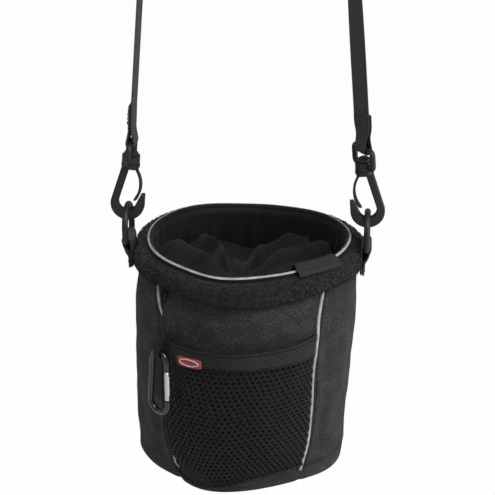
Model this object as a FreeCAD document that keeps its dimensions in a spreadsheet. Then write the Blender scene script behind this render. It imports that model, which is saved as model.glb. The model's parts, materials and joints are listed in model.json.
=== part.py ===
"""Treat pouch: a soft round bag with a sprung wire rim, a mesh front pocket and a carabiner clip, hung by
two swivel snap hooks from an adjustable webbing shoulder strap.

Millimetres. +Z is up and +Y points to the back of the pouch. The origin is the underside of the strap at
its apex, where the shoulder, hand or peg carries it. Every piece is drawn with z = 0 at the underside of
the pouch base and is then lowered by the hanging height.
"""
import FreeCAD, Part
import math
import os
import Sketcher

DIMENSIONS = (
    # pouch shell
    ("pouch_height", 151.5),          # base underside to the centre of the rim wire
    ("belly_radius", 73.6),           # outer radius of the wall where it is widest
    ("belly_height", 92.0),
    ("lower_arc_radius", 600.0),      # wall curve from the base seam to the belly
    ("upper_arc_radius", 240.0),      # wall curve from the belly to the neck
    ("base_corner", 10.0),            # rounding of the bottom edge, ends at the base seam
    ("wall_thickness", 1.6),
    ("lining_thickness", 0.8),
    ("sewn_gap", 0.3),                # air left between pieces that are sewn together
    ("seam_half_top", 55.0),          # half width of the front panel at its top edge
    ("seam_half_bottom", 43.5),       # half width of the front panel at the base seam
    # rim
    ("rim_radius", 63.3),
    ("wire_radius", 1.3),
    ("piping_wall", 1.0),
    ("band_drop", 1.0),               # rim piping to the top edge of the pile band
    ("band_height", 13.0),
    ("band_thickness", 3.3),
    ("band_edge_radius", 1.8),
    ("rim_tab_angle", 31.0),          # sector of the rim that the folded tab covers
    ("rim_tab_azimuth", 49.0),        # its middle, turned from the front towards +X
    ("rim_tab_thickness", 1.2),
    ("rim_tab_drop", 5.0),
    # seam piping and front pocket
    ("seam_piping_radius", 1.2),
    ("seam_piping_gap", 0.55),        # air under the cord where the wall is roundest
    ("seam_piping_drop", 3.1),        # pile band to the top of the cord
    ("pocket_inset", 2.2),            # pocket edge to the seam
    ("pocket_bottom", 11.0),
    ("pocket_top", 98.5),
    ("pocket_bulge_low", 0.8),
    ("pocket_bulge_middle", 5.0),
    ("pocket_bulge_top", 8.0),
    ("mesh_thickness", 1.0),
    ("elastic_height", 11.5),
    ("elastic_thickness", 2.0),
    ("label_length", 17.0),
    ("label_height", 8.0),
    ("label_thickness", 0.8),
    ("label_turn", -27.0),            # about the axis of the pocket's own arc
    ("seam_loop_length", 11.0),
    ("seam_loop_width", 4.0),
    ("seam_loop_azimuth", -42.0),
    # webbing
    ("webbing_width", 20.0),
    ("webbing_thickness", 1.5),
    ("bar_gap", 0.3),                 # webbing to the bar that it wraps
    ("edge_gap", 0.4),                # webbing edge to the side of its ring
    # rings on the pouch
    ("ring_bar_radius", 2.0),
    ("ring_height", 22.0),            # straight bar to the top of the bow, between centre lines
    ("ring_corner", 3.0),
    ("ring_bar_drop", 0.0),           # straight bar below the rim wire
    ("ring_tab_length", 18.0),
    # swivel snap hooks
    ("hook_thickness", 5.0),
    ("hook_bow_radius", 5.6),         # inside of the bow
    ("hook_bow_x", 0.8),
    ("hook_bow_depth", 24.2),         # collar to the centre of the bow
    ("hook_outer_radius", 11.0),
    ("hook_outer_x", 0.6),
    ("hook_outer_depth", 25.5),
    ("hook_throat_depth", 2.2),
    ("hook_throat_x", 1.0),
    ("hook_tip_depth", 18.0),
    ("hook_tip_width", 2.4),
    ("hook_round", 1.0),
    ("hook_seat_gap", 0.9),           # hook bow to the ring bar that rests in it
    ("hook_shoulder", 5.2),           # half width of the blade where it enters the collar
    ("collar_radius", 6.0),
    ("collar_height", 2.2),
    ("stud_radius", 3.0),
    ("stud_clearance", 0.08),
    ("knob_radius", 4.5),
    ("knob_height", 2.8),
    ("gate_thickness", 1.3),
    ("gate_width", 3.6),
    ("gate_length", 20.1),
    ("gate_arc_radius", 18.0),
    ("gate_root_x", 5.0),
    ("gate_barb_reach", 2.1),         # turned-in end of the gate, which catches behind the nose
    ("gate_barb_drop", 0.4),
    # swivel eyes
    ("eye_bar_radius", 1.8),
    ("eye_boss_radius", 5.8),
    ("eye_boss_height", 5.3),
    ("eye_rise", 11.2),               # boss middle to the top bar, between centre lines
    ("eye_corner", 2.6),
    ("right_twist", 28.0),            # turn of the right webbing loop about its own leg
    # strap
    ("leg_lean", 4.9),                # lean of each leg from the vertical
    ("support_radius", 48.0),         # inside of the bend over the support
    ("loop_fold_length", 24.0),
    ("twist_place", 115.0),           # collar to where the right leg starts to untwist
    ("strap_ring_bar_radius", 1.3),
    ("strap_ring_place", 150.0),      # collar to the lower bar of the strap ring
    ("strap_ring_height", 10.0),
    ("slider_place", 225.0),          # collar to the middle bar of the slider
    ("slider_length", 22.0),
    ("slider_bar", 2.4),
    ("slider_rail", 2.6),
    # carabiner
    ("carabiner_azimuth", -36.0),
    ("carabiner_bar_radius", 1.8),
    ("carabiner_height", 42.4),       # top to bottom, between centre lines
    ("carabiner_top_radius", 6.2),
    ("carabiner_bottom_radius", 7.55),
    ("carabiner_nose_depth", 11.0),
    ("carabiner_hinge_rise", 2.4),
    ("carabiner_gate_radius", 1.9),
    ("carabiner_gate_gap", 0.3),
    ("carabiner_gate_chamfer", 0.9),
    ("carabiner_tongue", 1.2),
    ("carabiner_tongue_width", 2.7),
    ("carabiner_slot_depth", 3.0),    # hinge pin, or nose, to the end of the slot in the gate
    ("carabiner_slot_gap", 0.2),
    ("carabiner_pin_radius", 0.6),
    ("carabiner_drop", 8.5),          # top edge of the elastic to the carabiner's top bar
    ("clip_gap", 0.7),                # ribbon to the curved top bar that it holds
    ("clip_stand_off", 0.7),          # more air behind the loop, whose corners meet the curved elastic
    ("clip_loop_width", 4.6),
    ("clip_loop_length", 8.0),
)


class Size:
    """A number together with the spreadsheet formula that gives it."""

    def __init__(self, number, text=None):
        self.number = float(number)
        self.text = repr(float(number)) if text is None else text

    def joined(self, other, sign, number):
        return Size(number, "(%s %s %s)" % (self.text, sign, other.text))

    def __add__(self, other):
        other = size(other)
        return self.joined(other, "+", self.number + other.number)

    def __sub__(self, other):
        other = size(other)
        return self.joined(other, "-", self.number - other.number)

    def __mul__(self, other):
        other = size(other)
        return self.joined(other, "*", self.number * other.number)

    def __truediv__(self, other):
        other = size(other)
        return self.joined(other, "/", self.number / other.number)

    def __neg__(self):
        return size(0) - self

    def __radd__(self, other):
        return size(other) + self

    def __rsub__(self, other):
        return size(other) - self

    def __rmul__(self, other):
        return size(other) * self


def size(value):
    return value if isinstance(value, Size) else Size(value)


def root(value):
    return Size(math.sqrt(value.number), "sqrt(%s)" % value.text)


def sine(angle):
    return Size(math.sin(math.radians(angle.number)), "sin(%s)" % angle.text)


def cosine(angle):
    return Size(math.cos(math.radians(angle.number)), "cos(%s)" % angle.text)


class Dimensions:
    """The spreadsheet, read by alias as Size values."""

    def __init__(self, document):
        self.sheet = document.addObject("Spreadsheet::Sheet", "Dimensions")
        self.numbers = dict(DIMENSIONS)
        for row, (alias, number) in enumerate(DIMENSIONS, start=1):
            self.sheet.set("A%d" % row, alias.replace("_", " "))
            self.sheet.set("B%d" % row, repr(number))
            self.sheet.setAlias("B%d" % row, alias)

    def __getattr__(self, alias):
        return Size(self.numbers[alias], "Dimensions." + alias)


doc = FreeCAD.newDocument("treat_pouch")
d = Dimensions(doc)
doc.recompute()


# ---------------------------------------------------------------- derived sizes

piping_radius = d.wire_radius + d.sewn_gap + d.piping_wall
wall_top = d.pouch_height - piping_radius - d.sewn_gap
band_top = wall_top - d.band_drop
band_bottom = band_top - d.band_height


def arc_drop(radius, distance):
    """How far an arc falls back at a distance from its middle."""
    return radius - root(radius * radius - distance * distance)


def wall_radius(height):
    """Outer radius of the wall at a height."""
    distance = height - d.belly_height
    arc = d.upper_arc_radius if distance.number > 0 else d.lower_arc_radius
    return d.belly_radius - arc_drop(arc, distance)


def seam_half(height):
    """Half width of the front panel at a height."""
    share = (height - d.base_corner) / (wall_top - d.base_corner)
    return d.seam_half_bottom + (d.seam_half_top - d.seam_half_bottom) * share


def tangent_point(centre_x, centre_y, radius, x, y, side):
    """Where a line from x, y touches a circle: side +1 or -1 picks one of the two points."""
    along_x, along_y = x - centre_x, y - centre_y
    square = along_x * along_x + along_y * along_y
    near = radius * radius / square
    off = radius * root(square - radius * radius) / square * side
    return (centre_x + along_x * near - along_y * off, centre_y + along_y * near + along_x * off)


band_outer = wall_radius(band_bottom) + d.sewn_gap + d.band_thickness
ring_wrap = d.ring_bar_radius + d.bar_gap + d.webbing_thickness
ring_x = band_outer + d.sewn_gap + ring_wrap
ring_bar_z = d.pouch_height - d.ring_bar_drop
ring_top_z = ring_bar_z + d.ring_height
ring_half = d.webbing_width / 2 + d.edge_gap + d.ring_bar_radius

# the hook's bow hangs round the top of the ring: its centre lies straight above the ring bar
bow_z = ring_top_z + d.hook_bow_radius - d.ring_bar_radius - d.hook_seat_gap
hook_x = ring_x - d.hook_bow_x * cosine(d.leg_lean) - d.hook_bow_depth * sine(d.leg_lean)
hook_z = bow_z - d.hook_bow_x * sine(d.leg_lean) + d.hook_bow_depth * cosine(d.leg_lean)

arch_radius = d.support_radius + d.webbing_thickness / 2
arch_z = hook_z + (hook_x * cosine(d.leg_lean) - arch_radius) / sine(d.leg_lean)
leg_length = hook_x * sine(d.leg_lean) + (arch_z - hook_z) * cosine(d.leg_lean)
hang_height = arch_z + d.support_radius

eye_boss_z = d.collar_height + d.sewn_gap
eye_middle = eye_boss_z + d.eye_boss_height / 2
eye_bar_z = eye_middle + d.eye_rise
eye_half = d.webbing_width / 2 + d.edge_gap + d.eye_bar_radius
loop_end = eye_bar_z + d.loop_fold_length

strap_ring_x = d.webbing_thickness / 2 + d.bar_gap + d.strap_ring_bar_radius
tail_x = strap_ring_x * 2
strap_ring_upper = d.strap_ring_place + d.strap_ring_height
slider_bar_radius = tail_x - d.webbing_thickness * 1.5 - d.bar_gap * 2


# ---------------------------------------------------------------- drawing helpers

def place(target, x, y, z, turn, lean=Size(0), twist=Size(0)):
    """Puts a piece at x, y, z above the base: twisted about its own Z, leaned about Y, turned about Z."""
    texts = (size(x).text, size(y).text, (size(z) - hang_height).text)
    where = "create(<<vector>>; %s; %s; %s)" % texts
    turned = "create(<<rotation>>; %s; %s; 0)" % (size(turn).text, (-size(lean)).text)
    twisted = "create(<<rotation>>; %s; 0; 0)" % size(twist).text
    target.setExpression("Placement", "create(<<placement>>; %s; %s * %s)" % (where, turned, twisted))


def new_body(label):
    body = doc.addObject("PartDesign::Body", label)
    body.Label = label
    return body


def origin_plane(body, role):
    return [plane for plane in body.Origin.OriginFeatures if plane.Role == role][0]


def new_sketch(body, name, role, shift=None, turn=None):
    """A sketch on one of the body's origin planes, moved along and turned about the plane's normal."""
    sketch = body.newObject("Sketcher::SketchObject", name)
    sketch.AttachmentSupport = [(origin_plane(body, role), "")]
    sketch.MapMode = "FlatFace"
    if shift is not None:
        spin = (turn or Size(0)).text
        sketch.setExpression("AttachmentOffset", "create(<<placement>>; create(<<vector>>; 0; 0; %s); "
                             "create(<<rotation>>; %s; 0; 0))" % (shift.text, spin))
    return sketch


def bind(sketch, kind, value, *where):
    value = size(value)
    index = sketch.addConstraint(Sketcher.Constraint(kind, *where, value.number))
    if "Dimensions" in value.text:
        sketch.setExpression("Constraints[%d]" % index, value.text)


def vector(point):
    return FreeCAD.Vector(point[0].number, point[1].number, 0)


def arc_between(start, end, radius):
    """The short arc between two points: a positive radius turns left, a negative one turns right."""
    half = (end - start) / 2
    side = FreeCAD.Vector(-half.y, half.x, 0).normalize()
    reach = math.sqrt(max(radius * radius - half.Length ** 2, 0.0))
    centre = start + half + side * math.copysign(reach, radius)
    first, last = (start, end) if radius > 0 else (end, start)
    circle = Part.Circle(centre, FreeCAD.Vector(0, 0, 1), abs(radius))
    angles = [math.atan2(point.y - centre.y, point.x - centre.x) for point in (first, last)]
    return Part.ArcOfCircle(circle, angles[0], angles[1])


def draw(sketch, points, closed=True):
    """Lines and arcs through points of (x, y) or (x, y, radius of the arc to the next point)."""
    points = [tuple(size(value) for value in point) for point in points]
    pairs = list(zip(points, points[1:] + points[:1])) if closed else list(zip(points, points[1:]))
    edges = []
    for start, end in pairs:
        if len(start) > 2:
            radius = start[2]
            edge = sketch.addGeometry(arc_between(vector(start), vector(end), radius.number))
            ends = (1, 2) if radius.number > 0 else (2, 1)
            bind(sketch, "Radius", radius if radius.number > 0 else -radius, edge)
        else:
            edge = sketch.addGeometry(Part.LineSegment(vector(start), vector(end)))
            ends = (1, 2)
        edges.append((edge, ends, start, end))
    for edge, ends, start, end in edges:
        bind(sketch, "DistanceX", start[0], -1, 1, edge, ends[0])
        bind(sketch, "DistanceY", start[1], -1, 1, edge, ends[0])
    for (edge, ends, start, end), (after, after_ends, *rest) in zip(edges, edges[1:] + edges[:1]):
        if closed or after != edges[0][0]:
            sketch.addConstraint(Sketcher.Constraint("Coincident", edge, ends[1], after, after_ends[0]))
    if not closed:
        edge, ends, start, end = edges[-1]
        bind(sketch, "DistanceX", end[0], -1, 1, edge, ends[1])
        bind(sketch, "DistanceY", end[1], -1, 1, edge, ends[1])


def draw_circle(sketch, x, y, radius):
    x, y = size(x), size(y)
    circle = Part.Circle(FreeCAD.Vector(x.number, y.number, 0), FreeCAD.Vector(0, 0, 1), radius.number)
    edge = sketch.addGeometry(circle)
    bind(sketch, "DistanceX", x, -1, 1, edge, 3)
    bind(sketch, "DistanceY", y, -1, 1, edge, 3)
    bind(sketch, "Radius", radius, edge)


def rectangle(sketch, x_low, x_high, y_low, y_high):
    draw(sketch, [(x_low, y_low), (x_high, y_low), (x_high, y_high), (x_low, y_high)])


def pad(body, sketch, length, middle=True):
    feature = body.newObject("PartDesign::Pad", sketch.Name + "_pad")
    feature.Profile = sketch
    feature.SideType = "Symmetric" if middle else "One side"
    feature.setExpression("Length", size(length).text)
    return feature


def pocket(body, sketch, length):
    """Cuts evenly to both sides of the sketch."""
    feature = body.newObject("PartDesign::Pocket", sketch.Name + "_pocket")
    feature.Profile = sketch
    feature.SideType = "Symmetric"
    feature.setExpression("Length", size(length).text)
    return feature


def revolve(body, sketch, angle=None):
    """Turns a sketch about its vertical axis: a full turn, or an angle shared by both sides."""
    feature = body.newObject("PartDesign::Revolution", sketch.Name + "_revolution")
    feature.Profile = sketch
    feature.ReferenceAxis = (sketch, ["V_Axis"])
    if angle is None:
        feature.Angle = 360
    else:
        feature.Midplane = True
        feature.setExpression("Angle", angle.text)
    return feature


def pipe(body, profile, path):
    feature = body.newObject("PartDesign::AdditivePipe", path.Name + "_pipe")
    feature.Profile = profile
    feature.Spine = path
    feature.Transition = "Transformed"
    return feature


def loft(body, sketches, ruled=False):
    feature = body.newObject("PartDesign::AdditiveLoft", sketches[0].Name + "_loft")
    feature.Profile = sketches[0]
    feature.Sections = sketches[1:]
    feature.Ruled = ruled
    return feature


def dress(body, kind, aspect, value, wanted):
    """Fillets or chamfers the edges of the body's tip that the function wanted picks."""
    doc.recompute()
    tip = body.Tip
    names = ["Edge%d" % (number + 1) for number, edge in enumerate(tip.Shape.Edges) if wanted(edge)]
    feature = body.newObject("PartDesign::" + kind, "%s_%s" % (body.Name, kind.lower()))
    feature.Base = (tip, names)
    feature.setExpression(aspect, value.text)


# ---------------------------------------------------------------- pouch shell

def wall_blank():
    """The whole side wall, before it is parted at the two front seams."""
    body = new_body("wall_blank")
    sketch = new_sketch(body, "wall_section", "XZ_Plane")
    low, top = d.base_corner, wall_top
    inner = d.wall_thickness
    draw(sketch, [
        (wall_radius(low), low, d.lower_arc_radius),
        (d.belly_radius, d.belly_height, d.upper_arc_radius),
        (wall_radius(top), top),
        (wall_radius(top) - inner, top, -d.upper_arc_radius),
        (d.belly_radius - inner, d.belly_height, -d.lower_arc_radius),
        (wall_radius(low) - inner, low)])
    revolve(body, sketch)
    place(body, 0, 0, 0, 0)
    return body


def front_block():
    """A block over the front of the pouch, as wide as the front panel at every height."""
    body = new_body("front_block")
    sketch = new_sketch(body, "front_outline", "XZ_Plane")
    low, high = seam_half(Size(0)), seam_half(d.pouch_height)
    draw(sketch, [(-low, 0), (low, 0), (high, d.pouch_height), (-high, d.pouch_height)])
    pad(body, sketch, d.belly_radius * 2, middle=False)
    place(body, 0, 0, 0, 0)
    return body


def panels():
    blank, block = wall_blank(), front_block()
    for label, kind in (("front_panel", "Part::Common"), ("side_back_panel", "Part::Cut")):
        piece = doc.addObject(kind, label)
        piece.Label = label
        piece.Base = blank
        piece.Tool = block


def base_panel():
    body = new_body("base_panel")
    sketch = new_sketch(body, "base_section", "XZ_Plane")
    edge, corner, wall = wall_radius(d.base_corner), d.base_corner, d.wall_thickness
    draw(sketch, [
        (0, 0),
        (edge - corner, 0, corner),
        (edge, corner),
        (edge - wall, corner, -(corner - wall)),
        (edge - corner, wall),
        (0, wall)])
    revolve(body, sketch)
    place(body, 0, 0, 0, 0)


def lining():
    body = new_body("lining")
    sketch = new_sketch(body, "lining_section", "XZ_Plane")
    corner, low, top = d.base_corner, d.base_corner, wall_top
    out = d.wall_thickness + d.sewn_gap
    inn = out + d.lining_thickness
    edge = wall_radius(low)
    draw(sketch, [
        (0, out),
        (edge - corner, out, corner - out),
        (edge - out, low, d.lower_arc_radius),
        (d.belly_radius - out, d.belly_height, d.upper_arc_radius),
        (wall_radius(top) - out, top),
        (wall_radius(top) - inn, top, -d.upper_arc_radius),
        (d.belly_radius - inn, d.belly_height, -d.lower_arc_radius),
        (edge - inn, low, -(corner - inn)),
        (edge - corner, inn),
        (0, inn)])
    revolve(body, sketch)
    place(body, 0, 0, 0, 0)


# ---------------------------------------------------------------- rim

def torus(name, major, minor):
    ring = doc.addObject("Part::Torus", name)
    ring.Label = name
    ring.setExpression("Radius1", major.text)
    ring.setExpression("Radius2", minor.text)
    place(ring, 0, 0, d.pouch_height, 0)
    return ring


def rim():
    torus("rim_wire", d.rim_radius, d.wire_radius)
    piping = doc.addObject("Part::Cut", "rim_piping")
    piping.Label = "rim_piping"
    piping.Base = torus("piping_outside", d.rim_radius, piping_radius)
    piping.Tool = torus("piping_channel", d.rim_radius, d.wire_radius + d.sewn_gap)


def rim_band():
    """The pile band sewn round the neck, just below the piping."""
    body = new_body("rim_band")
    sketch = new_sketch(body, "band_section", "XZ_Plane")
    low = wall_radius(band_bottom) + d.sewn_gap
    high = wall_radius(band_top) + d.sewn_gap
    draw(sketch, [
        (low, band_bottom),
        (low + d.band_thickness, band_bottom),
        (high + d.band_thickness, band_top),
        (high, band_top)])
    revolve(body, sketch)
    dress(body, "Fillet", "Radius", d.band_edge_radius, lambda edge: edge.BoundBox.ZLength < 0.01
           and edge.BoundBox.XMax > (high + d.band_thickness).number - 0.01)
    place(body, 0, 0, 0, 0)


def rim_tab():
    """Folded webbing that wraps over the rim piping at the front right."""
    body = new_body("rim_tab")
    sketch = new_sketch(body, "rim_tab_section", "XZ_Plane")
    inner = piping_radius + d.sewn_gap
    outer = inner + d.rim_tab_thickness
    low = d.pouch_height - d.rim_tab_drop
    middle, height = d.rim_radius, d.pouch_height
    draw(sketch, [
        (middle + outer, height, outer),
        (middle, height + outer, outer),
        (middle - outer, height),
        (middle - outer, low),
        (middle - inner, low),
        (middle - inner, height, -inner),
        (middle, height + inner, -inner),
        (middle + inner, height)])
    revolve(body, sketch, d.rim_tab_angle)
    place(body, 0, 0, 0, d.rim_tab_azimuth - 90)


# ---------------------------------------------------------------- front pocket and trim

def pocket_arc(height, bulge, thickness):
    """Radius of the pocket's outside in plan, and how far in front of the pouch axis its centre lies."""
    half = seam_half(height) - d.pocket_inset
    seat = wall_radius(height) + d.sewn_gap
    side = root(seat * seat - half * half)
    sagitta = seat + bulge - side
    radius = (half * half + sagitta * sagitta) / (sagitta * 2)
    return radius + thickness, seat + bulge - radius


def pocket_section(body, name, height, bulge, thickness):
    """Crescent between the two seams: it stands off the wall by the bulge at the front."""
    sketch = new_sketch(body, name, "XY_Plane", height)
    half = seam_half(height) - d.pocket_inset
    radius, forward = pocket_arc(height, bulge, Size(0))
    front = forward + radius
    side = forward + root(radius * radius - half * half)
    draw(sketch, [
        (-half, -side - thickness, radius),
        (0, -front - thickness, radius),
        (half, -side - thickness),
        (half, -side, -radius),
        (0, -front, -radius),
        (-half, -side)])
    return sketch


def mesh_pocket():
    body = new_body("mesh_pocket")
    middle = (d.pocket_bottom + d.pocket_top) / 2
    loft(body, [
        pocket_section(body, "mesh_low", d.pocket_bottom, d.pocket_bulge_low, d.mesh_thickness),
        pocket_section(body, "mesh_middle", middle, d.pocket_bulge_middle, d.mesh_thickness),
        pocket_section(body, "mesh_top", d.pocket_top, d.pocket_bulge_top, d.mesh_thickness)])
    place(body, 0, 0, 0, 0)


def pocket_elastic():
    body = new_body("pocket_elastic")
    low = d.pocket_top + d.sewn_gap
    high = low + d.elastic_height
    loft(body, [
        pocket_section(body, "elastic_low", low, d.pocket_bulge_top, d.elastic_thickness),
        pocket_section(body, "elastic_top", high, d.pocket_bulge_top, d.elastic_thickness)])
    place(body, 0, 0, 0, 0)


elastic_middle = d.pocket_top + d.sewn_gap + d.elastic_height / 2
elastic_top = d.pocket_top + d.sewn_gap + d.elastic_height


def pocket_face(height, azimuth, bulge, thickness):
    """Distance from the pouch axis to the outside of the pocket at an azimuth."""
    radius, forward = pocket_arc(height, bulge, thickness)
    across = forward * sine(azimuth)
    return forward * cosine(azimuth) + root(radius * radius - across * across)


def pocket_label():
    """Small stitched label, left bare, flat against the elastic."""
    radius, forward = pocket_arc(elastic_middle, d.pocket_bulge_top, d.elastic_thickness)
    label = doc.addObject("Part::Box", "pocket_label")
    label.Label = "pocket_label"
    label.setExpression("Length", d.label_length.text)
    label.setExpression("Width", d.label_thickness.text)
    label.setExpression("Height", d.label_height.text)
    reach, half = radius + d.sewn_gap + d.label_thickness, d.label_length / 2
    x = reach * sine(d.label_turn) - half * cosine(d.label_turn)
    y = -forward - reach * cosine(d.label_turn) - half * sine(d.label_turn)
    place(label, x, y, elastic_middle - d.label_height / 2, d.label_turn)


def seam_piping(label, side):
    """Reflective cord along one front seam, following the curve of the wall."""
    radius = d.seam_piping_radius.number
    reach = radius + d.seam_piping_gap.number
    heights = (d.base_corner, d.belly_height, band_bottom - d.seam_piping_drop)
    points = []
    for height in heights:
        wall, half = wall_radius(height).number, seam_half(height).number
        depth = math.sqrt(wall * wall - half * half)
        grow = (wall + reach) / wall
        points.append(FreeCAD.Vector(side * half * grow, -depth * grow, height.number))
    path = Part.Wire([Part.Arc(*points).toShape()])
    start = path.Edges[0]
    circle = Part.Circle(start.valueAt(start.FirstParameter), start.tangentAt(start.FirstParameter), radius)
    piece = doc.addObject("Part::Feature", label)
    piece.Label = label
    piece.Shape = path.makePipeShell([Part.Wire([circle.toShape()])], True, False)
    place(piece, 0, 0, 0, 0)


def seam_loop():
    """Tiny folded ribbon caught in the left seam below the band."""
    body = new_body("seam_loop")
    sketch = new_sketch(body, "seam_loop_outline", "XZ_Plane")
    half, length = d.seam_loop_width / 2, d.seam_loop_length
    rectangle(sketch, -half, half, -length, 0)
    pad(body, sketch, d.webbing_thickness)
    top = band_bottom - d.sewn_gap
    azimuth = d.seam_loop_azimuth
    reach = wall_radius(top - d.seam_loop_length) + d.sewn_gap + d.webbing_thickness / 2
    place(body, reach * sine(azimuth), -reach * cosine(azimuth), top, azimuth)


# ---------------------------------------------------------------- webbing folds

def fold(body, name, bar_radius, bar_x, bar_z, reach, width, low_x, high_x):
    """Webbing folded round a bar: a wrap, and two layers that close at x = low_x to high_x."""
    inner = bar_radius + d.bar_gap
    outer = inner + d.webbing_thickness
    sketch = new_sketch(body, name, "XZ_Plane")
    side = 1 if size(reach).number < 0 else -1
    turn = outer if side > 0 else -outer
    draw(sketch, [
        (bar_x + outer, bar_z, turn),
        (bar_x, bar_z + outer * side, turn),
        (bar_x - outer, bar_z),
        (low_x, bar_z + reach),
        (high_x, bar_z + reach)])
    draw_circle(sketch, bar_x, bar_z, inner)
    return pad(body, sketch, width)


def ring_tab(label, turn, side):
    """Webbing tab sewn to the band, folded over the straight bar of the ring."""
    body = new_body(label)
    fold(body, label + "_fold", d.ring_bar_radius, Size(0), Size(0), -d.ring_tab_length,
         d.webbing_width, -ring_wrap, -ring_wrap + d.webbing_thickness * 2)
    place(body, ring_x * side, 0, ring_bar_z, turn)


def pouch_ring(label, turn, side):
    """D ring: straight bar, two arms and a round bow."""
    body = new_body(label)
    path = new_sketch(body, label + "_path", "YZ_Plane")
    half, corner, height = ring_half, d.ring_corner, d.ring_height
    draw(path, [
        (0, 0),
        (half - corner, 0, corner),
        (half, corner),
        (half, height - half, half),
        (0, height, half),
        (-half, height - half),
        (-half, corner, corner),
        (corner - half, 0)])
    profile = new_sketch(body, label + "_section", "XZ_Plane")
    draw_circle(profile, 0, 0, d.ring_bar_radius)
    pipe(body, profile, path)
    place(body, ring_x * side, 0, ring_bar_z, turn)


# ---------------------------------------------------------------- swivel snap hooks

def hook(label, turn, side):
    """Snap hook: slanting spine, deep bow, pointed nose, and a collar with the swivel stud."""
    body = new_body(label)
    sketch = new_sketch(body, label + "_outline", "XZ_Plane")
    bow, outer = d.hook_bow_radius, d.hook_outer_radius
    bow_x, bow_v = d.hook_bow_x, -d.hook_bow_depth
    out_x, out_v = d.hook_outer_x, -d.hook_outer_depth
    tip = -d.hook_tip_depth
    shoulder, top = d.hook_shoulder, d.collar_height / 2
    throat = (d.hook_throat_x, -d.hook_throat_depth)
    nose = (out_x - outer + d.hook_tip_width, tip)
    draw(sketch, [
        (-shoulder, top),
        (-shoulder, -d.hook_throat_depth),
        throat,
        (*tangent_point(bow_x, bow_v, bow, *throat, -1), -bow),
        (bow_x, bow_v - bow, -bow),
        tangent_point(bow_x, bow_v, bow, *nose, 1),
        nose,
        (out_x - outer, tip),
        (out_x - outer, out_v, outer),
        (out_x, out_v - outer, outer),
        tangent_point(out_x, out_v, outer, shoulder, top, -1),
        (shoulder, top)])
    pad(body, sketch, d.hook_thickness)
    half = (d.hook_thickness / 2).number
    dress(body, "Fillet", "Radius", d.hook_round, lambda edge: abs(abs(edge.CenterOfMass.y) - half) < 0.01)
    stud = new_sketch(body, label + "_stud", "XZ_Plane")
    knob_low = eye_boss_z + d.eye_boss_height + d.sewn_gap
    draw(stud, [
        (0, 0),
        (d.collar_radius, 0),
        (d.collar_radius, d.collar_height),
        (d.stud_radius, d.collar_height),
        (d.stud_radius, knob_low),
        (d.knob_radius, knob_low),
        (d.knob_radius, knob_low + d.knob_height / 2),
        (d.knob_radius / 2, knob_low + d.knob_height),
        (0, knob_low + d.knob_height)])
    revolve(body, stud)
    place(body, hook_x * side, 0, hook_z, turn, d.leg_lean)


def hook_gate(label, turn, side):
    """Springy tongue that closes the hook: it bows outwards and ends inside the nose."""
    body = new_body(label)
    sketch = new_sketch(body, label + "_outline", "XZ_Plane")
    top = -d.hook_throat_depth - d.sewn_gap
    low = top - d.gate_length
    x, arc = -d.gate_root_x, d.gate_arc_radius
    draw(sketch, [
        (x, top, arc),
        (x, low),
        (x + d.gate_barb_reach, low - d.gate_barb_drop),
        (x + d.gate_thickness, low + d.gate_thickness, -arc),
        (x + d.gate_thickness, top)])
    pad(body, sketch, d.gate_width)
    place(body, hook_x * side, 0, hook_z, turn, d.leg_lean)


def swivel_eye(label, turn, side, twist):
    """Loop for the webbing, on a boss that turns on the hook's stud."""
    body = new_body(label)
    path = new_sketch(body, label + "_path", "YZ_Plane")
    half, corner, low, high = eye_half, d.eye_corner, eye_middle, eye_bar_z
    draw(path, [
        (0, high),
        (corner - half, high, corner),
        (-half, high - corner),
        (-half, low + corner, corner),
        (corner - half, low),
        (half - corner, low, corner),
        (half, low + corner),
        (half, high - corner, corner),
        (half - corner, high)])
    profile = new_sketch(body, label + "_section", "XZ_Plane")
    draw_circle(profile, 0, high, d.eye_bar_radius)
    pipe(body, profile, path)
    boss = new_sketch(body, label + "_boss", "XZ_Plane")
    rectangle(boss, 0, d.eye_boss_radius, eye_boss_z, eye_boss_z + d.eye_boss_height)
    revolve(body, boss)
    bore = new_sketch(body, label + "_bore", "XY_Plane", eye_middle)
    draw_circle(bore, 0, 0, d.stud_radius + d.stud_clearance)
    pocket(body, bore, d.eye_boss_height * 2)
    place(body, hook_x * side, 0, hook_z, turn, d.leg_lean, twist)


# ---------------------------------------------------------------- shoulder strap

def left_strap_end():
    """Short webbing on the left: folded round the swivel eye below and the strap ring above."""
    body = new_body("left_strap_end")
    layer = d.webbing_thickness
    fold(body, "eye_fold", d.eye_bar_radius, Size(0), eye_bar_z, d.loop_fold_length, d.webbing_width,
         -layer, layer)
    strip = new_sketch(body, "short_strip", "XZ_Plane")
    rectangle(strip, -layer / 2, layer / 2, loop_end - layer, d.strap_ring_place)
    pad(body, strip, d.webbing_width)
    fold(body, "ring_fold", d.strap_ring_bar_radius, -strap_ring_x, d.strap_ring_place,
         -d.loop_fold_length, d.webbing_width, -layer * 1.5, layer / 2)
    place(body, -hook_x, 0, hook_z, 180, d.leg_lean)


def right_strap_loop():
    """The long webbing's lower end: folded round the right swivel eye and sewn back on itself."""
    body = new_body("right_strap_loop")
    fold(body, "right_eye_fold", d.eye_bar_radius, Size(0), eye_bar_z, d.loop_fold_length,
         d.webbing_width, -d.webbing_thickness, d.webbing_thickness)
    place(body, hook_x, 0, hook_z, 0, d.leg_lean, d.right_twist)


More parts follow.
